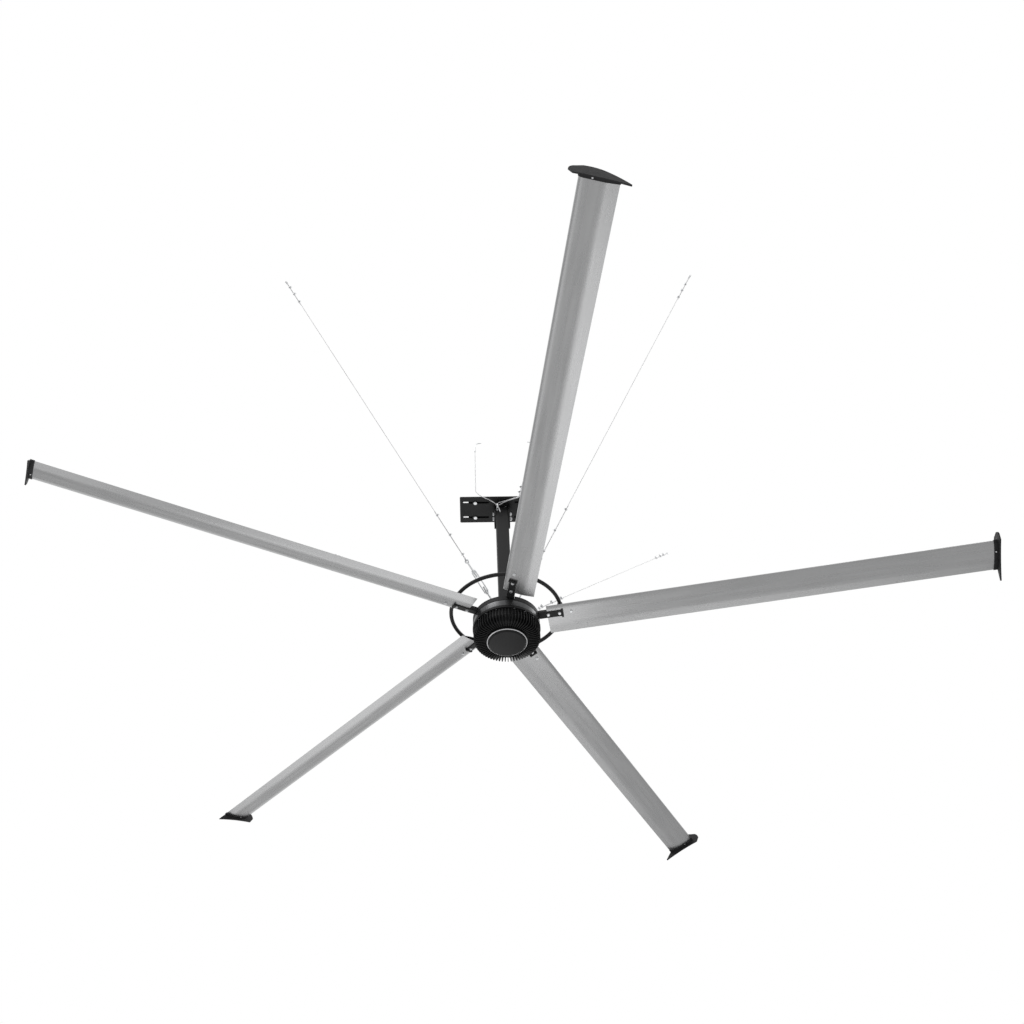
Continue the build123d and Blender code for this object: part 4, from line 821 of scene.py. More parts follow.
@dataclass
class Blades:
    """Five hollow extruded blades with a bowed nose and a soft crease under the trailing half."""

    root: float = 0.268
    tip: float = 3.020
    nose: float = 0.055
    tail: float = 0.145
    half_height: float = 0.014
    nose_length: float = 0.035
    bow_length: float = 0.055
    nose_steps: int = 15
    top_flat_end: float = 0.030
    top_steps: int = 14
    tail_half_height: float = 0.0008
    crease: float = 0.078
    crease_reach: float = 0.022
    crease_steps: int = 8
    wall: float = 0.0025
    bay_half_width: float = 0.028
    bay_steps: int = 12
    bay_height_share: float = 0.9
    tail_solid: float = 0.024
    tail_bay_start: float = 0.0002
    tail_bay_bend: tuple[float, float] = (0.001, 0.003)
    tail_bay_end: tuple[float, float] = (-0.0024, 0.0029)
    stations: tuple[float, ...] = (0.0, 0.25, 0.5, 0.75, 1.0)
    sharp: float = 25.0

    def outline(self) -> Outline:
        """Outer line of the section, nose on the left.

        Returns:
            Points in order round the section.
        """
        height, edge = self.half_height, self.tail_half_height
        run, drop = self.tail - self.top_flat_end, height - edge
        radius = (run**2 + drop**2) / (2 * drop)
        sweep = math.asin(run / radius)
        points = [(self.nose_length - self.nose, height), (self.top_flat_end, height)]
        points += [(self.top_flat_end + radius * math.sin(sweep * k / self.top_steps),
                    height - radius * (1 - math.cos(sweep * k / self.top_steps)))
                   for k in range(1, self.top_steps + 1)]
        points.append((self.tail, -edge))
        slope = math.atan2(height - edge, self.tail - self.crease)
        radius = self.crease_reach / math.tan(slope / 2)
        middle = self.crease - self.crease_reach
        points += [(middle + radius * math.sin(slope * k / self.crease_steps),
                    radius - height - radius * math.cos(slope * k / self.crease_steps))
                   for k in range(self.crease_steps, -1, -1)]
        points += self._nose_curve(self.bow_length, 0, self.nose_steps + 1)
        points += self._nose_curve(self.nose_length, self.nose_steps + 1, 2 * self.nose_steps)
        return points

    def _nose_curve(self, length: float, first: int, last: int) -> Outline:
        """Part of a half ellipse round the nose, from below to above.

        Args:
            length: how far the ellipse reaches back from the nose.
            first: the part's first step, out of twice nose_steps.
            last: the step that it stops before.

        Returns:
            The part's points.
        """
        turns = [math.pi * k / (2 * self.nose_steps) for k in range(first, last)]
        return [(length - self.nose - length * math.sin(turn), -self.half_height * math.cos(turn))
                for turn in turns]

    def bays(self) -> list[Outline]:
        """Hollow bays of the extrusion: nose, strut bay and tail.

        Returns:
            Points of each bay in order.
        """
        inside, half = self.half_height - self.wall, self.bay_half_width
        back = half + self.wall
        middle = [(-half, -inside), (half, -inside), (half, inside), (-half, inside)]
        rise, reach = inside * self.bay_height_share, self.nose - self.wall - back
        front = [(-back - reach * math.sin(math.pi * k / self.bay_steps),
                  -rise * math.cos(math.pi * k / self.bay_steps)) for k in range(self.bay_steps + 1)]
        end, (low, high), (bend, drop) = self.tail - self.tail_solid, self.tail_bay_end, self.tail_bay_bend
        rear = [(back, inside - self.tail_bay_start), (self.crease, inside - drop), (end, high), (end, low),
                (self.crease - bend, -inside), (back, -inside)]
        return [front, middle, rear]

    def build(self, material: bpy.types.Material) -> None:
        """Makes the blades.

        Args:
            material: the extrusion's finish.
        """
        loops = [self.outline(), *self.bays()]
        for number in range(BLADE_COUNT):
            node = f"blade_{number + 1}"
            mesh = self._mesh(loops, deck_place(bearing_of(number), 0.0, 0.0, 0.0), material)
            piece(node + "_extrusion", mesh, Body.ROTOR, [node])

    def _mesh(self, loops: list[Outline], place: Matrix, material: bpy.types.Material) -> bpy.types.Mesh:
        """Extrudes the section along the blade, with end faces and a skin map in metres.

        Args:
            loops: the section's outer line and its bays.
            place: the blade's place.
            material: the extrusion's finish.

        Returns:
            The blade's mesh.
        """
        shape = bmesh.new()
        skin = shape.loops.layers.uv.new("Skin")
        radii = [self.root + (self.tip - self.root) * share for share in self.stations]
        root_end, tip_end = [], []
        for loop in loops:
            rows = [[shape.verts.new(place @ Vector((radius, x, y))) for x, y in loop] for radius in radii]
            root_end += rows[0]
            tip_end += rows[-1]
            self._side(shape, skin, loop, rows, radii)
        for radius, verts in ((radii[0], root_end), (radii[-1], tip_end)):
            self._end(shape, skin, loops, verts, radius)
        return finished(shape, "blade", material, sharp=self.sharp)

    @staticmethod
    def _side(shape: bmesh.types.BMesh, skin: bmesh.types.BMLayerItem, loop: Outline,
              rows: list[list[bmesh.types.BMVert]], radii: list[float]) -> None:
        """Adds the long faces over one line of the section.

        Args:
            shape: the blade so far.
            skin: the skin map's layer.
            loop: the line's points.
            rows: the line's vertices at each radius.
            radii: the radii.
        """
        travel = [0.0]
        for (x0, y0), (x1, y1) in zip(loop, loop[1:] + loop[:1]):
            travel.append(travel[-1] + math.hypot(x1 - x0, y1 - y0))
        for low, high, start, end in zip(rows, rows[1:], radii, radii[1:]):
            for k in range(len(loop)):
                n = (k + 1) % len(loop)
                face = shape.faces.new((low[k], low[n], high[n], high[k]))
                corners = ((start, travel[k]), (start, travel[k + 1]), (end, travel[k + 1]), (end, travel[k]))
                for corner, spot in zip(face.loops, corners):
                    corner[skin].uv = spot

    @staticmethod
    def _end(shape: bmesh.types.BMesh, skin: bmesh.types.BMLayerItem, loops: list[Outline],
             verts: list[bmesh.types.BMVert], radius: float) -> None:
        """Adds one end face with the bays left open.

        Args:
            shape: the blade so far.
            skin: the skin map's layer.
            loops: the section's outer line and its bays.
            verts: their vertices at this end.
            radius: the end's radius.
        """
        flat = [[Vector((x, y, 0.0)) for x, y in loop] for loop in loops]
        spots = [spot for loop in loops for spot in loop]
        for corners in tessellate_polygon(flat):
            face = shape.faces.new([verts[index] for index in corners])
            for corner, index in zip(face.loops, corners):
                across, up = spots[index]
                corner[skin].uv = (radius + up, across)


# Hub


class FinTree:
    """Geometry tree that sets copies of one fin about the fan's axis."""

    def __init__(self) -> None:
        """Builds the tree: points, turned instances, realize, set the material."""
        sockets = [("Source", "Geometry"), ("Fin", "Object"), ("Count", "Int"), ("Finish", "Material")]
        sheet, given, result = new_group("radial_fins", "GeometryNodeTree", sockets, [("Fins", "Geometry")])
        points = sheet.add("GeometryNodePoints", {"Count": given.outputs["Count"]})
        index = sheet.add("GeometryNodeInputIndex").outputs[0]
        turn = sheet.math("DIVIDE", sheet.math("MULTIPLY", index, math.tau), given.outputs["Count"])
        rotation = sheet.add("ShaderNodeCombineXYZ", {"Z": turn})
        fin = sheet.add("GeometryNodeObjectInfo", {"Object": given.outputs["Fin"]})
        copies = sheet.add("GeometryNodeInstanceOnPoints",
                           {"Points": points.outputs[0], "Instance": fin.outputs["Geometry"],
                            "Rotation": rotation.outputs[0]})
        sheet.hand_over(copies.outputs[0], given, result)
        self.tree = sheet.tree


@dataclass
class FinnedCover:
    """Lower hub cover: a turned shell with cooling fins, and a bright metal ring on its cap that is a painted
    highlight.

    The ring's start and end are shares of the cap's chamfer, and its foot and shoulder are multiples of its
    rise.
    """

    shell: float = 0.201
    inner: float = 0.197
    lip: float = 0.217
    lip_top: float = -0.063
    lip_bottom: float = -0.082
    lip_soft: float = 0.0012
    floor: float = -0.162
    floor_thickness: float = 0.008
    slope_top: float = -0.128
    slope_radius: float = 0.170
    slope_wall: float = 0.005
    bore: float = 0.040
    boss: float = 0.060
    boss_top: float = -0.132
    seat: float = 0.0475
    seat_floor: float = -0.150
    cap_edge: tuple[float, float] = (0.129, -0.184)
    cap_face: tuple[float, float] = (0.112, -0.198)
    ring_start: float = 0.04
    ring_end: float = 0.30
    ring_rise: float = 0.0004
    ring_foot: float = 2.0
    ring_shoulder: float = 0.2
    fin_count: int = 66
    fin_thickness: float = 0.0045
    fin_top: float = -0.088
    fin_radius: float = 0.213
    fin_bottom: float = -0.175
    fin_corner: float = 0.025
    fin_corner_steps: int = 6
    fin_inner: float = 0.138
    fin_sink: float = 0.0005
    fin_soft: float = 0.0013
    segments: int = 132

    def shell_section(self) -> Outline:
        """Radius and height of the shell's turned section, in order.

        Returns:
            The section's points.
        """
        top = self.floor + self.floor_thickness
        run, rise = self.shell - self.slope_radius, self.slope_top - self.floor
        slant = self.slope_wall * math.hypot(run, rise)
        inner_bottom = self.slope_radius + (self.floor_thickness * run - slant) / rise
        inner_top = self.slope_top + (slant - (self.shell - self.inner) * rise) / run
        soft = self.lip_soft
        return [(self.bore, self.floor), (self.slope_radius, self.floor), (self.shell, self.slope_top),
                (self.shell, self.lip_bottom), (self.lip - soft, self.lip_bottom),
                (self.lip, self.lip_bottom + soft), (self.lip, self.lip_top - soft),
                (self.lip - soft, self.lip_top), (self.inner, self.lip_top), (self.inner, inner_top),
                (inner_bottom, top), (self.boss, top), (self.boss, self.boss_top), (self.seat, self.boss_top),
                (self.seat, self.seat_floor), (self.bore, self.seat_floor)]

    def build_shell(self, material: bpy.types.Material) -> None:
        """Turns the shell, in the casting's finish."""
        mesh = finished(turned(self.shell_section(), self.segments), "cover_shell", material)
        piece("cover_shell", mesh, Body.ROTOR, ["finned_cover"])

    def build_cap_highlight_ring(self, material: bpy.types.Material) -> None:
        """Turns a bright ring, a painted highlight, on the outer part of the hub cap's chamfer.

        Args:
            material: the turned metal's finish.
        """
        outer, inner = Vector(self.cap_edge), Vector(self.cap_face)
        out = Vector((outer.y - inner.y, inner.x - outer.x)).normalized() * self.ring_rise
        start, end = outer.lerp(inner, self.ring_start), outer.lerp(inner, self.ring_end)
        soft = (end - start).normalized() * self.ring_rise
        foot, shoulder = out * self.ring_foot, out * self.ring_shoulder
        section = [start - foot, start + shoulder, start + soft + out,
                   end - soft + out, end + shoulder, end - foot]
        mesh = finished(turned(section, self.segments), "hub_cap_ring", material)
        piece("hub_cap_ring", mesh, Body.ROTOR)

    def fin_line(self) -> Outline:
        """Radius and height of a fin's outline, in order.

        Returns:
            The outline's points.
        """
        turns = [math.pi / 2 * k / self.fin_corner_steps for k in range(self.fin_corner_steps + 1)]
        corner = [(self.fin_radius - self.fin_corner + self.fin_corner * math.cos(turn),
                   self.fin_bottom + self.fin_corner - self.fin_corner * math.sin(turn)) for turn in turns]
        wall, base = self.shell - self.fin_sink, self.floor + self.fin_sink
        return [(wall, self.fin_top), (self.fin_radius, self.fin_top), *corner,
                (self.fin_inner, self.fin_bottom), (self.fin_inner, base), (self.slope_radius, base),
                (wall, self.slope_top + self.fin_sink)]

    def fin(self) -> bpy.types.Mesh:
        """One fin at bearing 0 with rounded edges.

        Returns:
            The fin's mesh.
        """
        line = self.fin_line()
        shape = bmesh.new()
        half = self.fin_thickness / 2
        sides = [[shape.verts.new((r, y, HUB_LEVEL + z)) for r, z in line] for y in (-half, half)]
        shape.faces.new(sides[0])
        shape.faces.new(sides[1][::-1])
        for k in range(len(line)):
            n = (k + 1) % len(line)
            shape.faces.new((sides[0][k], sides[1][k], sides[1][n], sides[0][n]))
        outer = [edge for edge in shape.edges if self._shows(edge)]
        bmesh.ops.bevel(shape, geom=outer, offset=self.fin_soft, segments=2, profile=0.5, affect="EDGES",
                        clamp_overlap=True)
        return finished(shape, "fin", None, sharp=40.0)

    def _shows(self, edge: bmesh.types.BMEdge) -> bool:
        """Tells whether an edge lies in a fin's side, outside the shell.

        Args:
            edge: the fin's edge.

        Returns:
            True for an edge that shows.
        """
        first, last = (vert.co for vert in edge.verts)
        along = abs(first.y - last.y) < self.fin_thickness / 2
        return along and all(at.x > self.shell or at.z < HUB_LEVEL + self.floor for at in (first, last))

    def build(self, tree: bpy.types.NodeTree, material: bpy.types.Material) -> None:
        """Makes the shell and its fins.

        Args:
            tree: the fins' geometry tree.
            material: the casting's finish.
        """
        self.build_shell(material)
        fin = helper("fin", self.fin())
        carrier = helper("fin_carrier", bpy.data.meshes.new("fin_carrier"))
        mesh = grown(carrier, tree, {"Fin": fin, "Count": self.fin_count, "Finish": material})
        bpy.data.objects.remove(fin)
        piece("cooling_fins", mesh, Body.ROTOR, ["finned_cover"])


# Fasteners


@dataclass
class FastenerTree:
    """Geometry tree that sets one fastener at every place, with a thread on its shank."""

    thread_steps: int = 14
    ridge_sides: int = 4
    ridge_share: float = 0.36

    def __post_init__(self) -> None:
        """Builds the tree: threaded fastener, turned instances, realize, set the material."""
        sockets = [("Places", "Geometry"), ("Fastener", "Object"), ("Thread Radius", "Float"),
                   ("Pitch", "Float"), ("Turns", "Float"), ("Thread End", "Float"), ("Finish", "Material")]
        sheet, given, result = new_group("fastener_set", "GeometryNodeTree", sockets, [("Set", "Geometry")])
        body = sheet.add("GeometryNodeObjectInfo", {"Object": given.outputs["Fastener"]})
        rise = sheet.math("MULTIPLY", given.outputs["Pitch"], given.outputs["Turns"])
        helix = sheet.add("GeometryNodeCurveSpiral",
                          {"Resolution": self.thread_steps, "Rotations": given.outputs["Turns"],
                           "Start Radius": given.outputs["Thread Radius"],
                           "End Radius": given.outputs["Thread Radius"], "Height": rise})
        ridge_radius = sheet.math("MULTIPLY", given.outputs["Pitch"], self.ridge_share)
        ridge = sheet.add("GeometryNodeCurvePrimitiveCircle",
                          {"Resolution": self.ridge_sides, "Radius": ridge_radius})
        thread = sheet.add("GeometryNodeCurveToMesh",
                           {"Curve": helix.outputs[0], "Profile Curve": ridge.outputs[0], "Fill Caps": True})
        place = sheet.add("ShaderNodeCombineXYZ", {"Z": given.outputs["Thread End"]})
        seated = sheet.add("GeometryNodeTransform",
                           {"Geometry": thread.outputs[0], "Translation": place.outputs[0]})
        whole = sheet.add("GeometryNodeJoinGeometry")
        for part in (body.outputs["Geometry"], seated.outputs[0]):
            sheet.tree.links.new(part, whole.inputs[0])
        turn = sheet.add("GeometryNodeInputNamedAttribute", {"Name": "turn"}, data_type="FLOAT_VECTOR")
        rotation = sheet.add("FunctionNodeEulerToRotation", {0: turn.outputs[0]})
        copies = sheet.add("GeometryNodeInstanceOnPoints",
                           {"Points": given.outputs["Places"], "Instance": whole.outputs[0],
                            "Rotation": rotation.outputs[0]})
        sheet.hand_over(copies.outputs[0], given, result)
        self.tree = sheet.tree


@dataclass
class FastenerSet:
    """Bolts or nuts of one size at their places, with a hexagon worked out from the thread."""

    name: str
    replaced: str
    body: Body
    thread: float
    shank: float
    places: Sequence[Matrix]
    flange: float = 0.0
    threaded: float = 0.0
    nut: bool = False
    sides: int = 24
    flats_share: float = 1.55
    head_share: float = 0.63
    top_share: float = 0.93
    chamfer_slope: float = 0.6
    nut_soft: float = 0.0006
    tip_share: float = 0.78
    tip_length: float = 0.25
    seat_soft: float = 0.0004
    flange_seat: float = 0.0002
    flange_height: float = 0.0015
    flange_rise: float = 0.001
    flange_soft: float = 0.0008
    flange_edge: float = 0.7
    pitch_share: float = 0.12
    thread_depth: float = 0.12
    thread_start: float = 0.3
    sharp: float = 28.0

    def _ring(self, radii: Sequence[float] | float, heights: Sequence[float] | float) -> list[Point]:
        """Ring of points round the fastener's axis.

        Args:
            radii: the ring's radius, or one for each point.
            heights: its height, or one for each point.

        Returns:
            The ring's points.
        """
        angles = [math.tau * k / self.sides for k in range(self.sides)]
        all_radii = [radii] * self.sides if isinstance(radii, float) else radii
        all_heights = [heights] * self.sides if isinstance(heights, float) else heights
        return [(r * math.cos(a), r * math.sin(a), z) for r, a, z in zip(all_radii, angles, all_heights)]

    def _hexagon(self) -> list[float]:
        """Radii of the hexagon's points."""
        flats = self.thread * self.flats_share
        return [hex_radius(math.tau * k / self.sides, flats) for k in range(self.sides)]

    def _top_radius(self) -> float:
        """Radius of the round flat inside the hexagon's chamfer."""
        return self.thread * self.flats_share / 2 * self.top_share

    def _chamfer(self, height: float, way: float) -> list[Point]:
        """Ring where a chamfer's cone meets the hexagon.

        Args:
            height: height of the round flat.
            way: 1 for the upper chamfer and -1 for the lower one.

        Returns:
            The ring's points.
        """
        corner = self._hexagon()
        fall = way * self.chamfer_slope
        return self._ring(corner, [height - fall * (radius - self._top_radius()) for radius in corner])

    def _nut_rings(self, high: float) -> list[list[Point]]:
        """Rings of a nut, up its outside and down its bore.

        Args:
            high: the nut's height.

        Returns:
            The rings in order.
        """
        flat, bore, soft = self._top_radius(), self.thread / 2, self.nut_soft
        return [self._ring(flat, 0.0), self._chamfer(0.0, -1.0), self._chamfer(high, 1.0),
                self._ring(flat, high), self._ring(bore + soft, high), self._ring(bore, high - soft),
                self._ring(bore, soft), self._ring(bore + soft, 0.0)]

    def _bolt_rings(self, high: float) -> list[list[Point]]:
        """Rings of a bolt from the tip of its shank to the top of its head.

        Args:
            high: the head's height over its seat.

        Returns:
            The rings in order.
        """
        shank, flat, flange = self.thread / 2, self._top_radius(), self.flange
        rings = [self._ring(shank * self.tip_share, -self.shank),
                 self._ring(shank, -self.shank + shank * self.tip_length), self._ring(shank, 0.0)]
        if flange:
            foot = self.flange_height
            rings += [self._ring(flange - self.flange_seat, 0.0), self._ring(flange, self.seat_soft),
                      self._ring(flange, foot * self.flange_edge),
                      self._ring(flange - self.flange_soft, foot)]
        else:
            foot = self.seat_soft
            rings += [self._ring(flat, 0.0)]
        return rings + [self._ring(self._hexagon(), foot), self._chamfer(high, 1.0), self._ring(flat, high)]

    def profile(self) -> bpy.types.Mesh:
        """One bolt, head up and shank down, or one nut standing on the origin.

        Returns:
            The fastener's mesh.
        """
        if self.nut:
            rings = self._nut_rings(self.thread * NUT_SHARE)
        else:
            rise = self.flange_rise if self.flange else 0.0
            rings = self._bolt_rings(self.thread * self.head_share + rise)
        return finished(lofted(rings, closed=self.nut), self.name, None, sharp=self.sharp)

    def build(self, tree: bpy.types.NodeTree, material: bpy.types.Material) -> None:
        """Sets the fasteners.

        Args:
            tree: the fasteners' geometry tree.
            material: their finish.
        """
        mesh = bpy.data.meshes.new(self.name + "_places")
        mesh.from_pydata([tuple(place.translation) for place in self.places], [], [])
        turn = mesh.attributes.new("turn", "FLOAT_VECTOR", "POINT")
        for value, place in zip(turn.data, self.places):
            value.vector = tuple(place.to_euler("XYZ"))
        fastener = helper(self.name + "_pattern", self.profile())
        pitch = self.pitch_share * self.thread
        values = {"Fastener": fastener, "Thread Radius": self.thread / 2 - pitch * self.thread_depth,
                  "Pitch": pitch, "Turns": self.threaded / pitch,
                  "Thread End": -self.shank + self.thread_start * pitch, "Finish": material}
        result = grown(helper(self.name + "_carrier", mesh), tree, values)
        bpy.data.objects.remove(fastener)
        piece(self.name, result, self.body, [self.replaced])


@dataclass
class Fasteners:
    """The sets of bolts and nuts on the struts, the blades and the beam clamps."""

    thread: float = 0.010
    flange: float = 0.0105
    strut_stations: tuple[float, ...] = (0.165, 0.200)
    strut_seat: float = 0.011
    strut_shank: float = 0.039
    blade_rows: tuple[str, ...] = ("root", "middle", "outer")
    blade_stations: tuple[float, ...] = (0.275, 0.348, 0.422)
    bolt_seats: tuple[float, ...] = (0.020, 0.020, 0.014)
    nut_seats: tuple[float, ...] = (0.014, 0.018, 0.014)
    blade_spare: float = 0.003
    blade_threaded: float = 0.004
    clamp_thread: float = 0.016
    clamp_along: float = 0.190
    clamp_across: float = 0.070
    clamp_bolt_seat: float = 0.010
    clamp_nut_seat: float = 0.020
    clamp_spare: float = 0.014
    clamp_threaded: float = 0.015

    def blade_sets(self) -> list[FastenerSet]:
        """Bolts and nuts that hold the struts and blades.

        Returns:
            The sets.
        """
        bearings = [bearing_of(number) for number in range(BLADE_COUNT)]
        strut = [deck_place(b, s, 0.0, self.strut_seat) for b in bearings for s in self.strut_stations]
        nuts = [deck_place(b, s, 0.0, up) for b in bearings
                for s, up in zip(self.blade_stations, self.nut_seats)]
        sets = [FastenerSet("strut_bolt_set", "strut_bolts", Body.ROTOR, self.thread, self.strut_shank, strut,
                            flange=self.flange),
                FastenerSet("blade_nut_set", "blade_nuts", Body.ROTOR, self.thread, 0.0, nuts, nut=True)]
        return sets + self.through_bolts(bearings)

    def through_bolts(self, bearings: Sequence[float]) -> list[FastenerSet]:
        """Bolts up through clamp plate, blade and strut.

        Args:
            bearings: the blades' bearings.

        Returns:
            One set for each row of bolts.
        """
        sets = []
        rows = zip(self.blade_rows, self.blade_stations, self.bolt_seats, self.nut_seats)
        for row, station, down, up in rows:
            shank = down + up + NUT_SHARE * self.thread + self.blade_spare
            places = [deck_place(b, station, 0.0, -down, flipped=True) for b in bearings]
            sets.append(FastenerSet(f"blade_bolts_{row}", "blade_bolts", Body.ROTOR, self.thread, shank,
                                    places, flange=self.flange, threaded=self.blade_threaded))
        return sets

    def plate_sets(self) -> list[FastenerSet]:
        """Bolts and nuts of the beam clamps.

        Returns:
            The sets.
        """
        corners = [(x * self.clamp_along, y * self.clamp_across) for x in (-1, 1) for y in (-1, 1)]
        over = Matrix.Rotation(math.pi, 4, "X")
        heads = [Matrix.Translation((x, y, -self.clamp_bolt_seat)) @ over for x, y in corners]
        nuts = [Matrix.Translation((x, y, self.clamp_nut_seat)) for x, y in corners]
        grip = self.clamp_bolt_seat + self.clamp_nut_seat
        shank = grip + NUT_SHARE * self.clamp_thread + self.clamp_spare
        return [FastenerSet("clamp_bolt_set", "beam_clamp_bolts", Body.STILL, self.clamp_thread, shank, heads,
                            threaded=self.clamp_threaded),
                FastenerSet("clamp_nut_set", "beam_clamp_nuts", Body.STILL, self.clamp_thread, 0.0, nuts,
                            nut=True)]

    def build(self, tree: bpy.types.NodeTree, material: bpy.types.Material) -> None:
        """Sets every fastener through one geometry tree, in one finish."""
        for each in [*self.blade_sets(), *self.plate_sets()]:
            each.build(tree, material)


# Eased edges


@dataclass
class EasedParts:
    """Parts of the frame with the small rounded edges that cutting, casting and coating leave."""

    widths: dict[str, float] = field(default_factory=lambda: {
        "mounting_plate": 0.0012, "beam_clamps": 0.0014, "clevis_bracket": 0.0014, "mast": 0.0008,
        "blade_struts": 0.0010, "blade_clamp_plates": 0.0010, "hoop_brackets": 0.0010,
        "rotor_housing": 0.0014, "hub_top_cover": 0.0010, "hub_cap": 0.0012, "rotor_yoke_ring": 0.0010,
        "cable_gland": 0.0006, "turnbuckle_jaws": 0.0008, "turnbuckle_bodies": 0.0010,
        "wire_grip_saddles": 0.0007, "mast_flange_bolts": 0.0007, "clevis_bolts": 0.0008,
        "clevis_nuts": 0.0008, "housing_screws": 0.0006, "cover_screws": 0.0004, "cap_lock_screw": 0.0003,
        "winglet_screws": 0.0003, "safety_eye": 0.0006, "safety_hooks": 0.0005})
    winglet_width: float = 0.0018
    steps: int = 2
    angle: float = math.radians(35.0)
    flat_angle: float = math.radians(0.6)
    weld: float = 0.00002

    def build(self, palette: Palette) -> None:
        """Makes every eased part.

        Args:
            palette: the finishes' materials.
        """
        winglets = {f"winglet_{number + 1}": self.winglet_width for number in range(BLADE_COUNT)}
        slots = {part["node"]: part["material_slot"] for part in frame["record"]["subparts"]}
        for node, width in {**self.widths, **winglets}.items():
            source = frame["nodes"][node]
            mesh = self._welded(source.data)
            mesh.materials.clear()
            mesh.materials.append(palette.by_slot[slots[node]])
            body = Body(source.parent.name.removeprefix("body:"))
            thing = piece(node + "_eased", mesh, body, [node])
            bevel = thing.modifiers.new("eased_edges", "BEVEL")
            bevel.width, bevel.segments = width, self.steps
            bevel.limit_method, bevel.angle_limit = "ANGLE", self.angle
            bevel.harden_normals = True

    def _welded(self, source: bpy.types.Mesh) -> bpy.types.Mesh:
        """Copy of a part's mesh with its points merged and its flat faces joined.

        Args:
            source: the frame's mesh, which stays as it is.

        Returns:
            The copy.
        """
        shape = bmesh.new()
        shape.from_mesh(source)
        bmesh.ops.remove_doubles(shape, verts=shape.verts, dist=self.weld)
        bmesh.ops.dissolve_limit(shape, angle_limit=self.flat_angle, verts=shape.verts, edges=shape.edges)
        bmesh.ops.recalc_face_normals(shape, faces=shape.faces)
        mesh = bpy.data.meshes.new(source.name + "_welded")
        shape.to_mesh(mesh)
        shape.free()
        mesh.shade_smooth()
        mesh.set_sharp_from_angle(angle=self.angle)
        return mesh


# Studio


@dataclass(frozen=True)
class Lamp:
    """A soft elliptical lamp."""

    name: str
    place: Point
    target: Point
    size: tuple[float, float]
    power: float


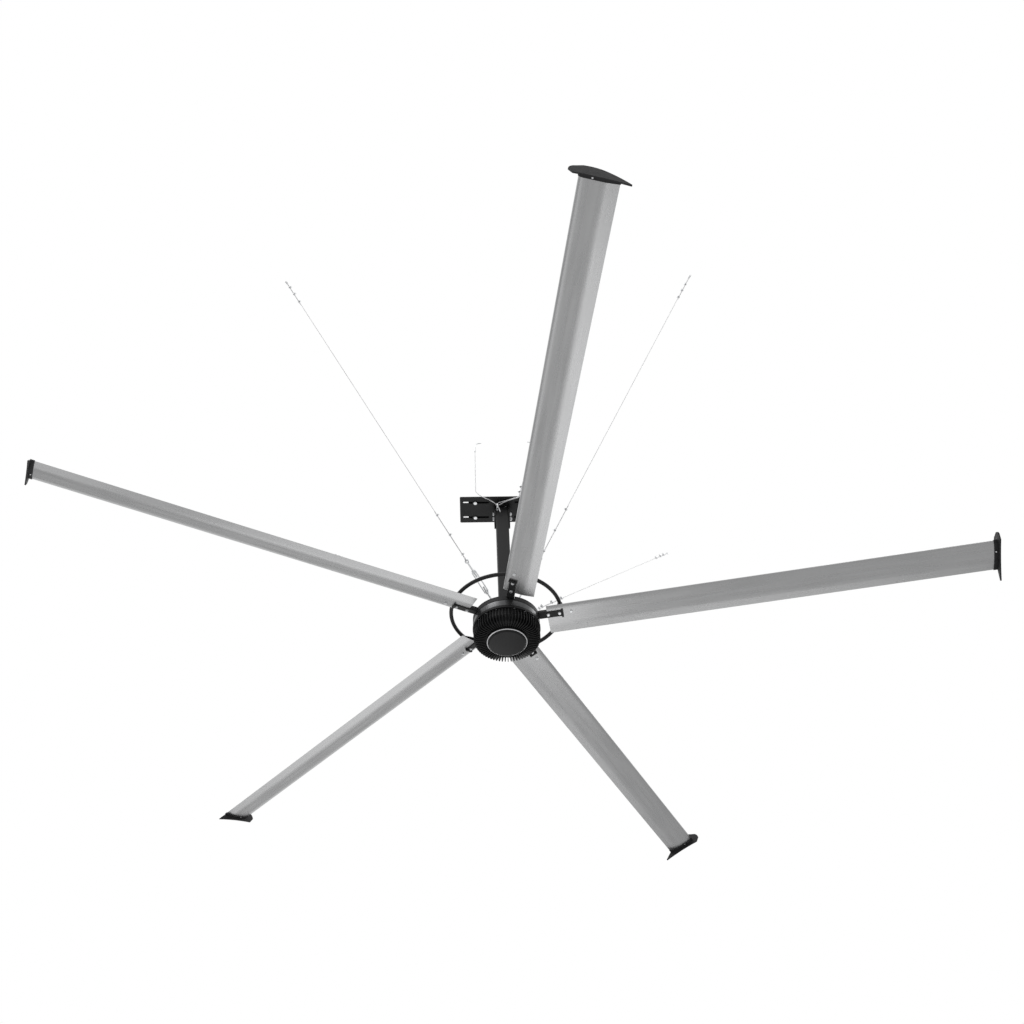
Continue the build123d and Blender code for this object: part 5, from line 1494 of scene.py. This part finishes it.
@dataclass
class Studio:
    """Floor, background, lamps and the camera at the photograph's angle."""

    floor_level: float = -6.35
    floor_half: float = 60.0
    camera_place: Point = (-0.1945, -5.1218, -5.8628)
    azimuth: float = math.radians(1.5)
    elevation: float = math.radians(48.711)
    roll: float = math.radians(0.407)
    lens: float = 37.906
    sensor: float = 36.0
    shift: float = 0.0546
    far_clip: float = 200.0
    floor_colour: Colour = (0.82, 0.82, 0.82)
    floor_roughness: float = 0.9
    background_light: float = 0.62
    lamps: tuple[Lamp, ...] = (
        Lamp("key", (-4.5, -4.0, 5.0), (0.0, 0.0, -1.0), (4.0, 4.0), 200.0),
        Lamp("fill", (5.0, 3.0, 4.0), (0.0, 0.0, -1.0), (4.0, 4.0), 100.0),
        Lamp("back_box", (-1.6, 8.8, -6.1), (-1.6, 8.8, 0.0), (9.0, 6.5), 130.0),
        Lamp("middle_box", (-0.25, 2.0, -6.1), (-0.25, 2.0, 0.0), (1.5, 6.5), 25.0),
        Lamp("right_box", (3.2, 3.7, -6.1), (3.2, 3.7, 0.0), (5.0, 1.2), 14.0),
        Lamp("left_box", (-6.3, 2.2, -6.1), (-6.3, 2.2, 0.0), (3.5, 8.0), 38.0),
    )

    def floor(self) -> None:
        """Plain pale floor that can't be seen from below."""
        shape = bmesh.new()
        corners = [(-1, -1), (1, -1), (1, 1), (-1, 1)]
        shape.faces.new([shape.verts.new((x * self.floor_half, y * self.floor_half, self.floor_level))
                         for x, y in corners])
        mesh = bpy.data.meshes.new("floor")
        shape.to_mesh(mesh)
        shape.free()
        material = bpy.data.materials.new("pale_floor")
        material.use_nodes = True
        sheet = Sheet(material.node_tree)
        shader = material.node_tree.nodes["Principled BSDF"]
        shader.inputs["Base Color"].default_value = (*self.floor_colour, 1.0)
        shader.inputs["Roughness"].default_value = self.floor_roughness
        clear = sheet.add("ShaderNodeBsdfTransparent")
        below = sheet.add("ShaderNodeNewGeometry").outputs["Backfacing"]
        both = sheet.add("ShaderNodeMixShader", {0: below, 1: shader.outputs[0], 2: clear.outputs[0]})
        sheet.tree.links.new(both.outputs[0], material.node_tree.nodes["Material Output"].inputs["Surface"])
        mesh.materials.append(material)
        helper("floor", mesh)

    def background(self) -> None:
        """White background for camera, glossy and transmission rays, and a plain grey for light."""
        world = bpy.data.worlds.new("studio")
        bpy.context.scene.world = world
        world.use_nodes = True
        sheet = Sheet(world.node_tree)
        path = sheet.add("ShaderNodeLightPath")
        seen = sheet.math("MAXIMUM", path.outputs["Is Camera Ray"], path.outputs["Is Glossy Ray"])
        seen = sheet.math("MAXIMUM", seen, path.outputs["Is Transmission Ray"])
        plain = world.node_tree.nodes["Background"]
        plain.inputs["Color"].default_value = WHITE
        plain.inputs["Strength"].default_value = self.background_light
        white = sheet.add("ShaderNodeBackground", {"Color": WHITE, "Strength": 1.0})
        both = sheet.add("ShaderNodeMixShader", {0: seen, 1: plain.outputs[0], 2: white.outputs[0]})
        sheet.tree.links.new(both.outputs[0], world.node_tree.nodes["World Output"].inputs["Surface"])

    def light(self) -> None:
        """Two soft area lamps above the fan and four low ones that face up."""
        for lamp in self.lamps:
            light = bpy.data.lights.new(lamp.name, "AREA")
            light.shape = "ELLIPSE"
            light.size, light.size_y = lamp.size
            light.energy = lamp.power
            thing = helper(lamp.name, light)
            aim = (Vector(lamp.target) - Vector(lamp.place)).to_track_quat("-Z", "Y")
            thing.matrix_world = Matrix.Translation(lamp.place) @ aim.to_matrix().to_4x4()
            thing.visible_camera = False

    def camera(self) -> None:
        """Camera at the photograph's place and angle."""
        forward = Vector((-math.sin(self.azimuth) * math.cos(self.elevation),
                          math.cos(self.azimuth) * math.cos(self.elevation), math.sin(self.elevation)))
        right = Vector((math.cos(self.azimuth), math.sin(self.azimuth), 0.0))
        up = right.cross(forward)
        across = right * math.cos(self.roll) + up * math.sin(self.roll)
        upward = -right * math.sin(self.roll) + up * math.cos(self.roll)
        lens = bpy.data.cameras.new("camera")
        lens.lens, lens.sensor_width, lens.shift_x = self.lens, self.sensor, self.shift
        lens.clip_end = self.far_clip
        thing = helper("camera", lens)
        axes = Matrix((across, upward, -forward)).transposed().to_4x4()
        thing.matrix_world = Matrix.Translation(self.camera_place) @ axes
        bpy.context.scene.camera = thing

    def build(self) -> None:
        """Sets up the whole studio."""
        self.camera()
        self.floor()
        self.background()
        self.light()
        bpy.context.scene.view_settings.view_transform = "Standard"


def main() -> None:
    """Builds the looks in order."""
    logging.basicConfig(level=logging.INFO, format="%(message)s")
    Studio().build()
    palette = Palette()
    palette.dress_frame()
    ropes = RopeTree()
    StayWires().build(ropes.tree, palette.by_slot["wire_rope"])
    SafetyCable().build(ropes.tree, palette.by_slot["wire_rope"])
    Blades().build(palette.by_slot["blade_aluminium"])
    cover = FinnedCover()
    cover.build(FinTree().tree, palette.by_slot["black_casting"])
    # A bright metal ring on the cap's chamfer, laid there as a painted highlight.
    cover.build_cap_highlight_ring(palette.by_slot["machined_steel"])
    Fasteners().build(FastenerTree().tree, palette.by_slot["zinc_steel"])
    EasedParts().build(palette)
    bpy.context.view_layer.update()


if __name__ == "__main__":
    main()
